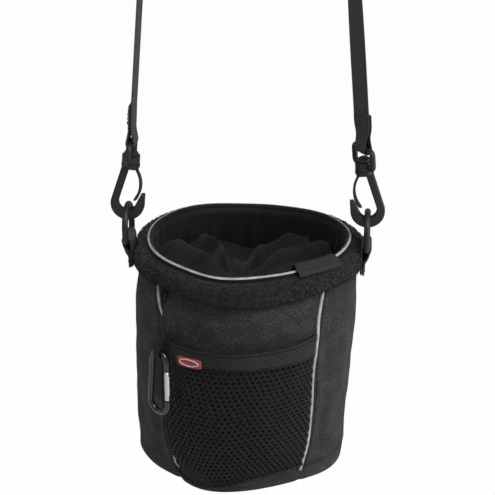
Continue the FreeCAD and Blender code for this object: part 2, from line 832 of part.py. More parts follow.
def strap_webbing():
    """The long webbing: right leg, bend over the support, left leg and the turn round the strap ring."""
    body = new_body("strap_webbing")
    layer, half = d.webbing_thickness, d.webbing_width / 2
    lean_x, lean_z = sine(d.leg_lean), cosine(d.leg_lean)

    def on_leg(along, across):
        """A point of the left leg, in the plane of the strap."""
        return (-hook_x + lean_x * along - lean_z * across, hook_z + lean_z * along + lean_x * across)

    apex = arch_z + arch_radius
    tangent_x, tangent_z = lean_z * arch_radius, arch_z + lean_x * arch_radius
    turn = strap_ring_x
    profile = new_sketch(body, "strap_section", "YZ_Plane")
    rectangle(profile, -half, half, apex - layer / 2, apex + layer / 2)
    left = new_sketch(body, "left_path", "XZ_Plane")
    draw(left, [
        (0, apex, arch_radius),
        (-tangent_x, tangent_z),
        (*on_leg(strap_ring_upper, 0), turn),
        (*on_leg(strap_ring_upper - turn, -turn), turn),
        on_leg(strap_ring_upper, -turn * 2)], closed=False)
    pipe(body, profile, left)
    right = new_sketch(body, "right_path", "XZ_Plane")
    draw(right, [(0, apex, -arch_radius), (tangent_x, tangent_z)], closed=False)
    pipe(body, profile, right)
    sections = []
    for number, (along, twist) in enumerate(((leg_length, Size(0)), (d.twist_place, d.right_twist),
                                             (loop_end, d.right_twist))):
        sketch = body.newObject("Sketcher::SketchObject", "leg_section_%d" % number)
        sketch.AttachmentSupport = [(origin_plane(body, "XY_Plane"), "")]
        sketch.MapMode = "FlatFace"
        x, z = hook_x - lean_x * along, hook_z + lean_z * along
        sketch.setExpression("AttachmentOffset", "create(<<placement>>; create(<<vector>>; %s; 0; %s); "
                             "create(<<rotation>>; 0; %s; 0) * create(<<rotation>>; %s; 0; 0))"
                             % (x.text, z.text, (-d.leg_lean).text, twist.text))
        rectangle(sketch, -layer / 2, layer / 2, -half, half)
        sections.append(sketch)
    loft(body, sections, ruled=True)
    place(body, 0, 0, 0, 0)


def strap_tail():
    """Inner layer of the webbing, from the strap ring back up to its loop on the slider's bar."""
    body = new_body("strap_tail")
    layer = d.webbing_thickness
    top = d.slider_place - slider_bar_radius - d.bar_gap - layer / 2
    strip = new_sketch(body, "tail_strip", "XZ_Plane")
    rectangle(strip, -tail_x - layer / 2, -tail_x + layer / 2, strap_ring_upper, top)
    pad(body, strip, d.webbing_width)
    loop = new_sketch(body, "tail_loop", "XZ_Plane")
    draw_circle(loop, -tail_x, d.slider_place, slider_bar_radius + d.bar_gap + layer)
    draw_circle(loop, -tail_x, d.slider_place, slider_bar_radius + d.bar_gap)
    pad(body, loop, d.webbing_width)
    place(body, -hook_x, 0, hook_z, 180, d.leg_lean)


def strap_ring():
    """Rectangular ring that joins the long webbing to the short one."""
    body = new_body("strap_ring")
    half = d.webbing_width / 2 + d.edge_gap + d.strap_ring_bar_radius
    corner = d.strap_ring_bar_radius * 1.5
    low, high = d.strap_ring_place, strap_ring_upper
    path = new_sketch(body, "strap_ring_path", "YZ_Plane")
    draw(path, [
        (0, low),
        (half - corner, low, corner),
        (half, low + corner),
        (half, high - corner, corner),
        (half - corner, high),
        (corner - half, high, corner),
        (-half, high - corner),
        (-half, low + corner, corner),
        (corner - half, low)])
    profile = new_sketch(body, "strap_ring_section", "XZ_Plane")
    draw_circle(profile, 0, low, d.strap_ring_bar_radius)
    pipe(body, profile, path)
    lean_x, lean_z = sine(d.leg_lean), cosine(d.leg_lean)
    place(body, -hook_x + strap_ring_x * lean_z, 0, hook_z + strap_ring_x * lean_x * -1, 180, d.leg_lean)


def strap_slider():
    """Length adjuster: two side rails, two end bars outside the webbing and a round bar behind it."""
    body = new_body("strap_slider")
    bar, rail, length = d.slider_bar, d.slider_rail, d.slider_length
    outer_x = d.webbing_thickness / 2 + d.bar_gap
    inner = d.webbing_width / 2 + d.edge_gap
    rails = new_sketch(body, "slider_rails", "XZ_Plane")
    rectangle(rails, -tail_x - slider_bar_radius, outer_x + bar,
              d.slider_place - length / 2, d.slider_place + length / 2)
    pad(body, rails, (inner + rail) * 2)
    window = new_sketch(body, "slider_window", "XZ_Plane")
    rectangle(window, -tail_x - slider_bar_radius * 2, outer_x + bar * 2,
              d.slider_place - length, d.slider_place + length)
    pocket(body, window, inner * 2)
    for number, end in enumerate((-1, 1)):
        middle = d.slider_place + (length / 2 - bar / 2) * end
        bars = new_sketch(body, "slider_end_%d" % number, "XZ_Plane")
        rectangle(bars, outer_x, outer_x + bar, middle - bar / 2, middle + bar / 2)
        pad(body, bars, (inner + rail / 2) * 2)
    centre = new_sketch(body, "slider_centre_bar", "XZ_Plane")
    draw_circle(centre, -tail_x, d.slider_place, slider_bar_radius)
    pad(body, centre, (inner + rail / 2) * 2)
    place(body, -hook_x, 0, hook_z, 180, d.leg_lean)


# ---------------------------------------------------------------- carabiner on its ribbon loop

carabiner_gate_x = d.carabiner_top_radius
carabiner_low = -d.carabiner_height + d.carabiner_bottom_radius
hinge_end = carabiner_low + d.carabiner_hinge_rise
nose_end = -d.carabiner_nose_depth
pin_z = hinge_end + d.carabiner_gate_radius
clip_wrap = d.carabiner_bar_radius + d.clip_gap + d.webbing_thickness
clip_top = elastic_top - d.carabiner_drop
clip_reach = pocket_face(elastic_middle, d.carabiner_azimuth, d.pocket_bulge_top,
                         d.elastic_thickness) + d.clip_stand_off + clip_wrap


def place_clip(body):
    place(body, clip_reach * sine(d.carabiner_azimuth), -clip_reach * cosine(d.carabiner_azimuth),
          clip_top, d.carabiner_azimuth)


def carabiner_loop():
    """Ribbon loop on the end of the pocket's elastic: the carabiner's top bow hangs in it."""
    body = new_body("carabiner_loop")
    sketch = new_sketch(body, "clip_loop_outline", "YZ_Plane")
    wrap = clip_wrap
    ribbon = d.webbing_thickness
    draw(sketch, [
        (-wrap, 0, wrap),
        (0, -wrap, wrap),
        (wrap, 0),
        (wrap, d.clip_loop_length),
        (wrap - ribbon * 2, d.clip_loop_length)])
    draw_circle(sketch, 0, 0, d.carabiner_bar_radius + d.clip_gap)
    pad(body, sketch, d.clip_loop_width)
    place_clip(body)


def tongue(body, name, low, high):
    """Flat tongue that enters the slot in the gate."""
    sketch = new_sketch(body, name, "XZ_Plane")
    half = d.carabiner_tongue_width / 2
    rectangle(sketch, carabiner_gate_x - half, carabiner_gate_x + half, low, high)
    pad(body, sketch, d.carabiner_tongue)


def carabiner_body():
    body = new_body("carabiner_body")
    path = new_sketch(body, "carabiner_path", "XZ_Plane")
    top, bottom = d.carabiner_top_radius, d.carabiner_bottom_radius
    x = carabiner_gate_x
    draw(path, [
        (x, nose_end),
        (x, -top, top),
        (0, 0, top),
        (-top, -top),
        (x - bottom * 2, carabiner_low, bottom),
        (x - bottom, carabiner_low - bottom, bottom),
        (x, carabiner_low),
        (x, hinge_end)], closed=False)
    profile = new_sketch(body, "carabiner_section", "XY_Plane", nose_end)
    draw_circle(profile, x, 0, d.carabiner_bar_radius)
    pipe(body, profile, path)
    tongue(body, "hinge_tongue", hinge_end - d.carabiner_bar_radius, pin_z + d.carabiner_gate_radius)
    tongue(body, "nose_tongue", nose_end - d.carabiner_gate_radius, nose_end + d.carabiner_bar_radius)
    bore = new_sketch(body, "hinge_bore", "XZ_Plane")
    draw_circle(bore, x, pin_z, d.carabiner_pin_radius + d.stud_clearance)
    pocket(body, bore, d.carabiner_gate_radius * 2)
    place_clip(body)


def carabiner_gate():
    """Straight sprung gate: slotted at both ends for the tongues of the body."""
    body = new_body("carabiner_gate")
    low, high = hinge_end + d.carabiner_gate_gap, nose_end - d.carabiner_gate_gap
    section = new_sketch(body, "gate_section", "XY_Plane", low)
    draw_circle(section, carabiner_gate_x, 0, d.carabiner_gate_radius)
    pad(body, section, high - low, middle=False)
    dress(body, "Chamfer", "Size", d.carabiner_gate_chamfer, lambda edge: edge.Closed)
    reach = d.carabiner_gate_radius
    slots = (("hinge_slot", low - reach, pin_z + d.carabiner_slot_depth),
             ("nose_slot", nose_end - d.carabiner_slot_depth, high + reach))
    for name, slot_low, slot_high in slots:
        slot = new_sketch(body, name, "XZ_Plane")
        rectangle(slot, carabiner_gate_x - reach * 2, carabiner_gate_x + reach * 2, slot_low, slot_high)
        pocket(body, slot, d.carabiner_tongue + d.carabiner_slot_gap * 2)
    bore = new_sketch(body, "gate_bore", "XZ_Plane")
    draw_circle(bore, carabiner_gate_x, pin_z, d.carabiner_pin_radius)
    pocket(body, bore, reach * 4)
    place_clip(body)


def carabiner_pin():
    """Rivet that hinges the gate: tight in the gate, free in the tongue."""
    body = new_body("carabiner_pin")
    sketch = new_sketch(body, "pin_section", "XZ_Plane")
    draw_circle(sketch, carabiner_gate_x, pin_z, d.carabiner_pin_radius)
    pad(body, sketch, d.carabiner_gate_radius * 2)
    place_clip(body)


# ---------------------------------------------------------------- build and export

panels()
base_panel()
lining()
rim()
rim_band()
rim_tab()
mesh_pocket()
pocket_elastic()
pocket_label()
seam_loop()
SIDES = (("left", Size(180), -1, Size(0)), ("right", Size(0), 1, d.right_twist))
for side_name, side_turn, side_sign, side_twist in SIDES:
    seam_piping(side_name + "_piping", side_sign)
    ring_tab(side_name + "_ring_tab", side_turn, side_sign)
    pouch_ring(side_name + "_ring", side_turn, side_sign)
    hook(side_name + "_hook", side_turn, side_sign)
    hook_gate(side_name + "_gate", side_turn, side_sign)
    swivel_eye(side_name + "_swivel_eye", side_turn, side_sign, side_twist)
left_strap_end()
right_strap_loop()
strap_webbing()
strap_tail()
strap_ring()
strap_slider()
carabiner_loop()
carabiner_body()
carabiner_gate()
carabiner_pin()
doc.recompute()

NOT_PIECES = ("wall_blank", "front_block", "piping_outside", "piping_channel")
KINDS = ("PartDesign::Body", "Part::Common", "Part::Cut", "Part::Torus", "Part::Box", "Part::Feature")

for item in doc.Objects:
    if "Invalid" in item.State or "Error" in item.State:
        raise RuntimeError("%s did not recompute: %s" % (item.Name, item.State))

pieces = [item for item in doc.Objects if item.TypeId in KINDS and item.Label not in NOT_PIECES]
for piece in pieces:
    if piece.Shape.isNull() or not piece.Shape.isValid() or not piece.Shape.Solids:
        raise RuntimeError("%s has no valid solid" % piece.Label)

os.makedirs("parts", exist_ok=True)
for piece in pieces:
    piece.Shape.exportStep("parts/%s.step" % piece.Label)
    print("%-20s solids %d volume %10.2f" % (piece.Label, len(piece.Shape.Solids), piece.Shape.Volume))
print("nodes %d, hang height %.2f, leg length %.2f" % (len(pieces), hang_height.number, leg_length.number))
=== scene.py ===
"""Looks of the treat pouch: its cloth, trim, thread and finishes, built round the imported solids.

Metres, in the frame of the part: +Z is up, -Y is the front, and the strap's apex is the origin.
"""
import json
import math

import bpy
import numpy as np
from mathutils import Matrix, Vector


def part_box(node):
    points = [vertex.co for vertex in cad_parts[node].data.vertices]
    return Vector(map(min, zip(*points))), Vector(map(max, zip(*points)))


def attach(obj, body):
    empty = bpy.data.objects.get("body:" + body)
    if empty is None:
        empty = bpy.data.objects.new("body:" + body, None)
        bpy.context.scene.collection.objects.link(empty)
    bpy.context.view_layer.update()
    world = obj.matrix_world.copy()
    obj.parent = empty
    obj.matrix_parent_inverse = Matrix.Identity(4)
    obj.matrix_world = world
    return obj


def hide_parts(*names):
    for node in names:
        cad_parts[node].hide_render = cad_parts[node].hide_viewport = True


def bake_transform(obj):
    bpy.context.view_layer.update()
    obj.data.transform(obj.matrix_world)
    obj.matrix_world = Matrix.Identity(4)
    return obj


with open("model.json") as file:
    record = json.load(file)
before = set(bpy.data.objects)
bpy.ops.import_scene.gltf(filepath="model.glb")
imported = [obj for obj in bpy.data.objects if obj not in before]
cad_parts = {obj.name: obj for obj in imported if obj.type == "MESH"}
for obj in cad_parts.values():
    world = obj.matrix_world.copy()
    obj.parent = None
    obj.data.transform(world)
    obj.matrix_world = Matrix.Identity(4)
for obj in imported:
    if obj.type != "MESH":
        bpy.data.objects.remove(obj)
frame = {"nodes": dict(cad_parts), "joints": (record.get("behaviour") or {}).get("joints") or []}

bl_info = {
    "name": "Treat Pouch Looks",
    "version": (1, 0, 0),
    "blender": (4, 5, 0),
    "location": "View3D > Sidebar > Treat Pouch",
    "description": "Builds the cloth, trim, thread and finishes of a hanging treat pouch",
    "category": "Object",
}

# ---------------------------------------------------------------- sizes read from the frame

MM = 0.001
TURN = 2 * math.pi
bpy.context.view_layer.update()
NODES = frame["nodes"]
JOINTS = {joint["name"]: joint for joint in frame["joints"]}

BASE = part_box("base_panel")[0].z
WALL_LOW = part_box("side_back_panel")[0].z - BASE
WALL_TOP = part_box("side_back_panel")[1].z - BASE
BELLY_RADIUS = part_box("side_back_panel")[1].y
BAND_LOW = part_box("rim_band")[0].z - BASE
WIRE_LOW, WIRE_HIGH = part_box("rim_wire")
WIRE_RADIUS = (WIRE_HIGH.z - WIRE_LOW.z) / 2
RIM_HEIGHT = ((WIRE_LOW + WIRE_HIGH) / 2).z - BASE
RIM_RADIUS = WIRE_HIGH.x - WIRE_RADIUS
WEBBING_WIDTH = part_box("left_ring_tab")[1].y * 2
WEBBING_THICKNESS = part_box("strap_webbing")[1].z
HALF_TAPE = WEBBING_THICKNESS / 2

# up the part, and from its front to its back
UP = np.array([0.0, 0.0, 1.0])
DEPTH = np.array([0.0, 1.0, 0.0])

# the body's wall: its widest height, and the arcs of its side below and above that
BELLY_HEIGHT = 92 * MM
LOWER_ARC = 600 * MM
UPPER_ARC = 240 * MM
# height above which the wall takes on the shape of the mouth
MOUTH_START = 112 * MM


# ---------------------------------------------------------------- curves and waves

def smooth(low, high, value):
    """0 below low, 1 above high, with a soft start and stop."""
    share = np.clip((value - low) / (high - low), 0, 1)
    return share * share * (3 - 2 * share)


def bell(distance, width):
    """1 at no distance, and close to 0 beyond twice the width."""
    return np.exp(-(distance / width) ** 2)


def folded(azimuth):
    """The same azimuth, brought to half a turn or less on either side of the front."""
    return (azimuth + math.pi) % TURN - math.pi


def radial(azimuth):
    """The level direction from the pouch's axis at each azimuth: 0 is the front, above 0 its right."""
    return np.stack([np.sin(azimuth), -np.cos(azimuth), 0 * azimuth], axis=-1)


def unit(vectors):
    return vectors / np.linalg.norm(vectors, axis=-1, keepdims=True)


def away(path):
    """The level direction from the pouch's axis at each point of a path."""
    return unit(path * (1, 1, 0))


def through(value, knots):
    """A smooth curve through knots of (place, value), level beyond the ends."""
    places = np.array([knot[0] for knot in knots], float)
    values = np.array([knot[1] for knot in knots], float)
    slopes = np.gradient(values, places)
    value = np.clip(value, places[0], places[-1])
    index = np.clip(np.searchsorted(places, value) - 1, 0, len(places) - 2)
    span = places[index + 1] - places[index]
    t = (value - places[index]) / span
    start = (2 * t ** 3 - 3 * t ** 2 + 1) * values[index] + (t ** 3 - 2 * t ** 2 + t) * span * slopes[index]
    end = (3 * t ** 2 - 2 * t ** 3) * values[index + 1] + (t ** 3 - t ** 2) * span * slopes[index + 1]
    return start + end


def soft_waves(azimuth, height, seed, turns, rises, count=9):
    """Gentle waves that close round the bag: up to `turns` in a turn, and `rises` radians per metre."""
    chance = np.random.default_rng(seed)
    total = 0
    for _ in range(count):
        around = chance.integers(1, turns)
        total = total + np.cos(around * azimuth + chance.uniform(-rises, rises) * height
                               + chance.uniform(0, TURN))
    return total / math.sqrt(count)


# ---------------------------------------------------------------- shape of the bag

MOUTH_BENDS = (
    # azimuth and width in degrees, share of the radius
    (-142, 13, 0.030),
    (180, 20, -0.012),
    (-34, 15, -0.028),
    (-9, 12, 0.012),
    (-68, 22, 0.020),
    (18, 11, -0.014),
    (66, 16, 0.018),
    (135, 16, 0.020),
)


def mouth_shape(azimuth):
    """Share by which the sprung rim departs from a circle: full behind, flatter at the front."""
    share = 0.012 - 0.031 * np.cos(azimuth) + 0.041 * np.cos(3 * azimuth) - 0.017 * np.sin(3 * azimuth)
    for place, width, depth in MOUTH_BENDS:
        share = share + depth * bell(folded(azimuth - math.radians(place)), math.radians(width))
    return share


def wall_radius(height):
    """The body's radius: two arcs that meet at the belly."""
    distance = height - BELLY_HEIGHT
    arc = np.where(distance > 0, UPPER_ARC, LOWER_ARC)
    return BELLY_RADIUS - (arc - np.sqrt(arc ** 2 - distance ** 2))


# height, and the distance of each front seam from the middle
SEAM_HALF_WIDTH = ((0.010, 0.0415), (0.030, 0.0450), (0.062, 0.0470), (0.096, 0.0474), (0.116, 0.0490),
                   (0.134, 0.0528), (0.150, 0.0560))


def seam_azimuth(height):
    """Azimuth of the right front seam; the left one mirrors it."""
    return np.arcsin(through(height, SEAM_HALF_WIDTH) / wall_radius(np.clip(height, WALL_LOW, WALL_TOP)))


def side_drift(height):
    """The loaded bag hangs a little to the left below its belly."""
    low = np.clip((BELLY_HEIGHT - height) / BELLY_HEIGHT, 0, 1)
    return -1.7 * MM * low ** 1.4


def base_lift(azimuth, height):
    """The base rides up at the right front, and a little at the left side."""
    azimuth = folded(azimuth)
    rise = 6.0 * MM * bell(azimuth - 0.48, 0.55) + 3.0 * MM * bell(azimuth + 1.45, 0.60)
    return rise * (1 - smooth(0, 0.045, height))


# height, and how far the left side bags out there
LEFT_SWELL = (
    (0, 5.5 * MM), (0.006, 4.5 * MM), (0.012, 3.7 * MM), (0.021, 3.8 * MM), (0.031, 2.9 * MM),
    (0.051, 1.9 * MM), (0.071, 1.7 * MM), (0.091, 0.4 * MM), (0.105, 0),
)


def side_swell(azimuth, height):
    """The right side draws in below the belly, the left one bags out low down, and the left front
    corner of the base is drawn in."""
    azimuth = folded(azimuth)
    low_down = smooth(0.0, 0.04, height) * (1 - smooth(0.07, 0.120, height))
    right = -3.4 * MM * bell(azimuth - 1.70, 0.75) * low_down
    left = through(height, LEFT_SWELL) * bell(azimuth + 1.58, 0.50)
    corner = -4.5 * MM * bell(azimuth + 0.68, 0.26) * (1 - smooth(0.0, 0.034, height))
    return right + left + corner


CREASE_END = 0.018


def crease(azimuth, height, place, lean, low, high, depth, width):
    """A soft valley up the cloth from low to high: place is its azimuth in degrees, and lean the
    degrees that it moves aside per metre."""
    middle = math.radians(place) + math.radians(lean) * (height - low)
    run = smooth(low, low + CREASE_END, height) * (1 - smooth(high - CREASE_END, high, height))
    return -depth * run * bell(folded(azimuth - middle) * BELLY_RADIUS, width)


CREASES = (
    # azimuth in degrees, lean, low and high end, depth, width
    (50, -30, 0.020, 0.118, 1.4 * MM, 4.5 * MM),
    (-49, 40, 0.012, 0.066, 1.6 * MM, 5.0 * MM),
    (-68, -60, 0.024, 0.120, 0.9 * MM, 8.0 * MM),
    (74, 60, 0.030, 0.115, 0.9 * MM, 9.0 * MM),
    (-26, 50, 0.104, 0.136, 0.8 * MM, 6.0 * MM),
    (9, -120, 0.106, 0.137, 0.7 * MM, 7.0 * MM),
    (33, -260, 0.108, 0.136, 0.9 * MM, 4.0 * MM),
    (120, 90, 0.020, 0.120, 1.1 * MM, 8.0 * MM),
    (-128, -70, 0.030, 0.125, 1.2 * MM, 7.0 * MM),
    (168, 40, 0.015, 0.100, 1.0 * MM, 9.0 * MM),
)


WRINKLES = (
    # seed, most waves in a turn, most radians per metre of height, share of the wrinkle depth
    (11, 8, 50, 0.8),
    (23, 19, 130, 0.3),
    (31, 40, 420, 0.08),
)


def cloth_relief(azimuth, height):
    """Wrinkles, creases and seam valleys of the outer cloth. Wrinkles are held flatter at both edges."""
    held = 0.35 + 0.65 * smooth(WALL_LOW, 0.04, height) * (1 - smooth(0.115, BAND_LOW, height))
    waves = sum(soft_waves(azimuth, height, seed, turns, rises) * share
                for seed, turns, rises, share in WRINKLES)
    relief = bpy.context.scene.pouch_sizes.wrinkle_depth * waves * held
    for sizes in CREASES:
        relief = relief + crease(azimuth, height, *sizes)
    seam = np.abs(np.abs(folded(azimuth)) - seam_azimuth(height)) * wall_radius(height)
    return relief * (1 - 0.8 * bell(seam, 4 * MM)) - 1.1 * MM * bell(seam, 2.2 * MM)


def place_on_bag(azimuth, height, radius):
    """The point at a radius from the pouch's axis, with the mouth's shape and the body's drift added."""
    share = smooth(MOUTH_START, RIM_HEIGHT, height)
    radius = radius * (1 + mouth_shape(azimuth) * share)
    radius = radius + side_swell(azimuth, height)
    return np.stack([radius * np.sin(azimuth) + side_drift(height), -radius * np.cos(azimuth),
                     BASE + height + base_lift(azimuth, height) + 0 * radius], axis=-1)


def wall_point(azimuth, height, out=0.0):
    """A point of the body's outer cloth, or one that stands out from it."""
    azimuth, height = np.broadcast_arrays(np.asarray(azimuth, float), np.asarray(height, float))
    return place_on_bag(azimuth, height, wall_radius(height) + cloth_relief(azimuth, height) + out)


# height, and how far the pocket's middle stands off the front there
POCKET_BULGE = (
    (0.010, 0.4 * MM), (0.035, 3.5 * MM), (0.060, 5.5 * MM), (0.100, 8.0 * MM), (0.112, 8.2 * MM),
)


def pocket_point(share, height, out=0.0):
    """A point of the pocket's outside: share runs from -1 at the left seam to 1 at the right one."""
    share, height = np.broadcast_arrays(np.asarray(share, float), np.asarray(height, float))
    azimuth = share * seam_azimuth(height)
    stand = through(height, POCKET_BULGE) * np.clip(1 - np.abs(share) ** 2.4, 0, 1) ** 0.8
    sway = 0.5 * MM * np.cos(azimuth * 11 + height * 60) * (1 - share ** 2)
    gathers = 0.7 * MM * bell(share + 0.55, 0.28) * np.cos(share * 42)
    gathers = gathers * smooth(0.015, 0.07, height) * (1 - smooth(0.082, 0.096, height))
    radius = wall_radius(height) + 0.5 * MM + stand + sway + gathers + out
    return place_on_bag(azimuth, height, radius)


# ---------------------------------------------------------------- making meshes

def select_only(piece):
    """Makes a piece the only selected one, and the active one."""
    bpy.ops.object.select_all(action="DESELECT")
    piece.select_set(True)
    bpy.context.view_layer.objects.active = piece


def new_piece(name, vertices, faces, uv=None):
    """An object at the origin; uv holds one pair for each corner of each face."""
    mesh = bpy.data.meshes.new(name)
    places = np.asarray(vertices, float).reshape(-1, 3).tolist()
    mesh.from_pydata(places, [], [list(face) for face in faces])
    if uv is not None:
        layer = mesh.uv_layers.new(name="UVMap")
        layer.data.foreach_set("uv", np.asarray(uv, np.float32).ravel())
    mesh.update()
    piece = bpy.data.objects.new(name, mesh)
    bpy.context.collection.objects.link(piece)
    select_only(piece)
    bpy.ops.object.shade_smooth()
    return piece


def modify(piece, kind, **settings):
    """Adds a modifier and applies it."""
    modifier = piece.modifiers.new(kind.title(), kind)
    for key, value in settings.items():
        setattr(modifier, key, value)
    select_only(piece)
    bpy.ops.object.modifier_apply(modifier=modifier.name)


def measured(points, axis, around=False):
    """Length along one axis of an array of points, from its first row or column, averaged over the
    other axis."""
    if around:
        points = np.concatenate([points, points.take([0], axis)], axis)
    steps = np.linalg.norm(np.diff(points, axis=axis), axis=-1).mean(axis=1 - axis)
    return np.concatenate([[0], np.cumsum(steps)])


def surface(name, points, around=False, ends=False, around_rows=False):
    """A sheet through points[row, column]. `around` joins the last column to the first one, `around_rows`
    the last row to the first one, and `ends` closes the first and last row with one face each."""
    rows, columns = points.shape[:2]
    u = measured(points, 1, around)
    v = measured(points, 0, around_rows)
    faces, uv = [], []
    for row in range(rows if around_rows else rows - 1):
        above = (row + 1) % rows
        for column in range(columns if around else columns - 1):
            after = (column + 1) % columns
            faces.append((row * columns + column, row * columns + after,
                          above * columns + after, above * columns + column))
            uv.append(((u[column], v[row]), (u[column + 1], v[row]),
                       (u[column + 1], v[row + 1]), (u[column], v[row + 1])))
    corners = [pair for face in uv for pair in face]
    if ends:
        faces.append(tuple(reversed(range(columns))))
        faces.append(tuple(range((rows - 1) * columns, rows * columns)))
        corners += [(u[column], 0.0) for column in reversed(range(columns))]
        corners += [(u[column], v[-1]) for column in range(columns)]
    return new_piece(name, points, faces, corners)


def tangents(path, closed=False):
    """Direction of a path at each of its points."""
    if closed:
        return unit(np.roll(path, -1, 0) - np.roll(path, 1, 0))
    return unit(np.gradient(path, axis=0))


def even_path(path, step, closed=False):
    """The same line with points at even distances, rounded between the given ones."""
    path = np.asarray(path, float)
    if closed:
        path = np.concatenate([path, path[:1]])
    length = np.concatenate([[0], np.cumsum(np.linalg.norm(np.diff(path, axis=0), axis=1))])
    count = max(int(length[-1] / step), 2)
    places = np.linspace(0, length[-1], count + 1)
    if closed:
        places = places[:-1]
    return np.stack([np.interp(places, length, path[:, axis]) for axis in range(3)], axis=1)


def sweep(name, path, sides, ups, section, closed=False):
    """Carries a closed section of (side, up) pairs along a path."""
    section = np.asarray(section, float)
    points = (path[:, None, :] + sides[:, None, :] * section[None, :, 0:1]
              + ups[:, None, :] * section[None, :, 1:2])
    return surface(name, points, around=True, ends=not closed, around_rows=closed)


def circle(radius, count=14):
    """A round section for sweep."""
    angles = np.linspace(0, TURN, count, endpoint=False)
    return np.stack([radius * np.cos(angles), radius * np.sin(angles)], axis=1)


def tube(name, path, radius, outward, closed=False, count=14):
    """A round cord along a path; outward is any rough side direction at each point."""
    along = tangents(path, closed)
    ups = unit(np.cross(along, outward))
    return sweep(name, path, unit(np.cross(ups, along)), ups, circle(radius, count), closed)


def tape_section(width, thickness, columns=12):
    """Section of woven tape: flat faces, rounded selvedges that stand a little thicker."""
    across = np.cos(np.linspace(math.pi, 0, columns))
    half = thickness / 2 * np.clip(1 - np.abs(across) ** 14, 0.35, 1)
    across = across * width / 2
    low = np.stack([across, -half], axis=1)
    high = np.stack([across[::-1], half[::-1]], axis=1)
    return np.concatenate([low, high])


def tape(name, path, across, width=WEBBING_WIDTH, thickness=WEBBING_THICKNESS, gather=None):
    """Flat woven tape along a path; across gives the direction of its width at each point, and gather the
    share that its width keeps there."""
    along = tangents(path)
    normals = unit(np.cross(across, along))
    sides = unit(np.cross(along, normals))
    if gather is not None:
        sides = sides * gather[:, None]
    return sweep(name, path, sides, normals, tape_section(width, thickness))


def gathered_near(path, point, share, reach):
    """Share of its width that tape keeps along a path: less near a point where it bunches up."""
    apart = np.linalg.norm(path - point, axis=1)
    return 1 - (1 - share) * (1 - smooth(reach * 0.25, reach, apart))


def arc_points(centre, first, second, radius, start, stop, count=12):
    """Points round a centre in the plane of two unit directions, from angle start to stop in degrees."""
    angles = np.radians(np.linspace(start, stop, count))
    return (np.asarray(centre)[None] + radius * (np.cos(angles)[:, None] * np.asarray(first)[None]
                                                 + np.sin(angles)[:, None] * np.asarray(second)[None]))


# ---------------------------------------------------------------- materials

def node(tree, kind, inputs=None, **settings):
    """Adds a shader node; an input is a constant, or another node's output socket."""
    made = tree.nodes.new(kind)
    for key, value in settings.items():
        setattr(made, key, value)
    for key, value in (inputs or {}).items():
        if isinstance(value, bpy.types.NodeSocket):
            tree.links.new(value, made.inputs[key])
        else:
            made.inputs[key].default_value = value
    return made


def blank_material(name, roughness, **constants):
    """A material with an unlinked base, and its tree and shader."""
    material = bpy.data.materials.new(name)
    material.use_nodes = True
    shader = material.node_tree.nodes["Principled BSDF"]
    shader.inputs["Roughness"].default_value = roughness
    for key, value in constants.items():
        shader.inputs[key.replace("_", " ")].default_value = value
    return material, material.node_tree, shader


def grey(value, warm=0.0):
    """A grey, a little warm where warm is above 0 and cool below."""
    return (value * (1 + warm), value, value * (1 - warm), 1)


def scaled_uv(tree, across, along):
    """The piece's own UV, which is in metres, as counts of `across` and `along` per metre."""
    uv = node(tree, "ShaderNodeUVMap", uv_map="UVMap").outputs[0]
    return node(tree, "ShaderNodeMapping", {"Vector": uv, "Scale": (across, along, 1)}).outputs[0]


def object_place(tree, scale=(1, 1, 1)):
    """The piece's own coordinates in metres, scaled along x, y and z."""
    place = node(tree, "ShaderNodeTexCoord").outputs["Object"]
    return node(tree, "ShaderNodeMapping", {"Vector": place, "Scale": scale}).outputs[0]


def maths(tree, operation, first, second=0.0):
    """The outcome of a sum of two inputs, each a number or a socket."""
    return node(tree, "ShaderNodeMath", {0: first, 1: second}, operation=operation).outputs[0]


def ramp(tree, factor, *stops):
    """Colour by factor, through stops of (place, colour)."""
    made = node(tree, "ShaderNodeValToRGB", {"Fac": factor})
    elements = made.color_ramp.elements
    while len(elements) < len(stops):
        elements.new(0.5)
    for element, (place, colour) in zip(elements, stops):
        element.position = place
        element.color = colour
    return made.outputs[0]


def bump(tree, shader, height, distance, strength):
    """Turns a height into small relief in the shading."""
    made = node(tree, "ShaderNodeBump", {"Height": height, "Distance": distance, "Strength": strength})
    tree.links.new(made.outputs[0], shader.inputs["Normal"])


def weave_height(tree, across, along):
    """Height of a plain weave: threads that pass over and under each other."""
    place = node(tree, "ShaderNodeSeparateXYZ", {0: scaled_uv(tree, across * TURN / 2, along * TURN / 2)})
    weft = maths(tree, "SINE", place.outputs[0])
    warp = maths(tree, "SINE", place.outputs[1])
    return maths(tree, "MULTIPLY", weft, warp)


def noise(tree, place, scale=1.0, detail=3.0, **inputs):
    """Soft random patches, from 0 to 1, over a place such as a UV or an object's own coordinates."""
    inputs = {"Vector": place, "Scale": scale, "Detail": detail, **inputs}
    return node(tree, "ShaderNodeTexNoise", inputs).outputs[0]


def colour_by(tree, shader, factor, *stops):
    """Gives the shader the colour that a ramp has at a factor."""
    tree.links.new(ramp(tree, factor, *stops), shader.inputs["Base Color"])


def patchy_roughness(tree, shader, scale, low, high):
    """Lets the roughness drift between two values, as on a part that has been handled."""
    patches = noise(tree, object_place(tree), scale, 4.0)
    rough = node(tree, "ShaderNodeMapRange", {"Value": patches, "From Min": 0.35, "From Max": 0.7,
                                              "To Min": low, "To Max": high})
    tree.links.new(rough.outputs[0], shader.inputs["Roughness"])


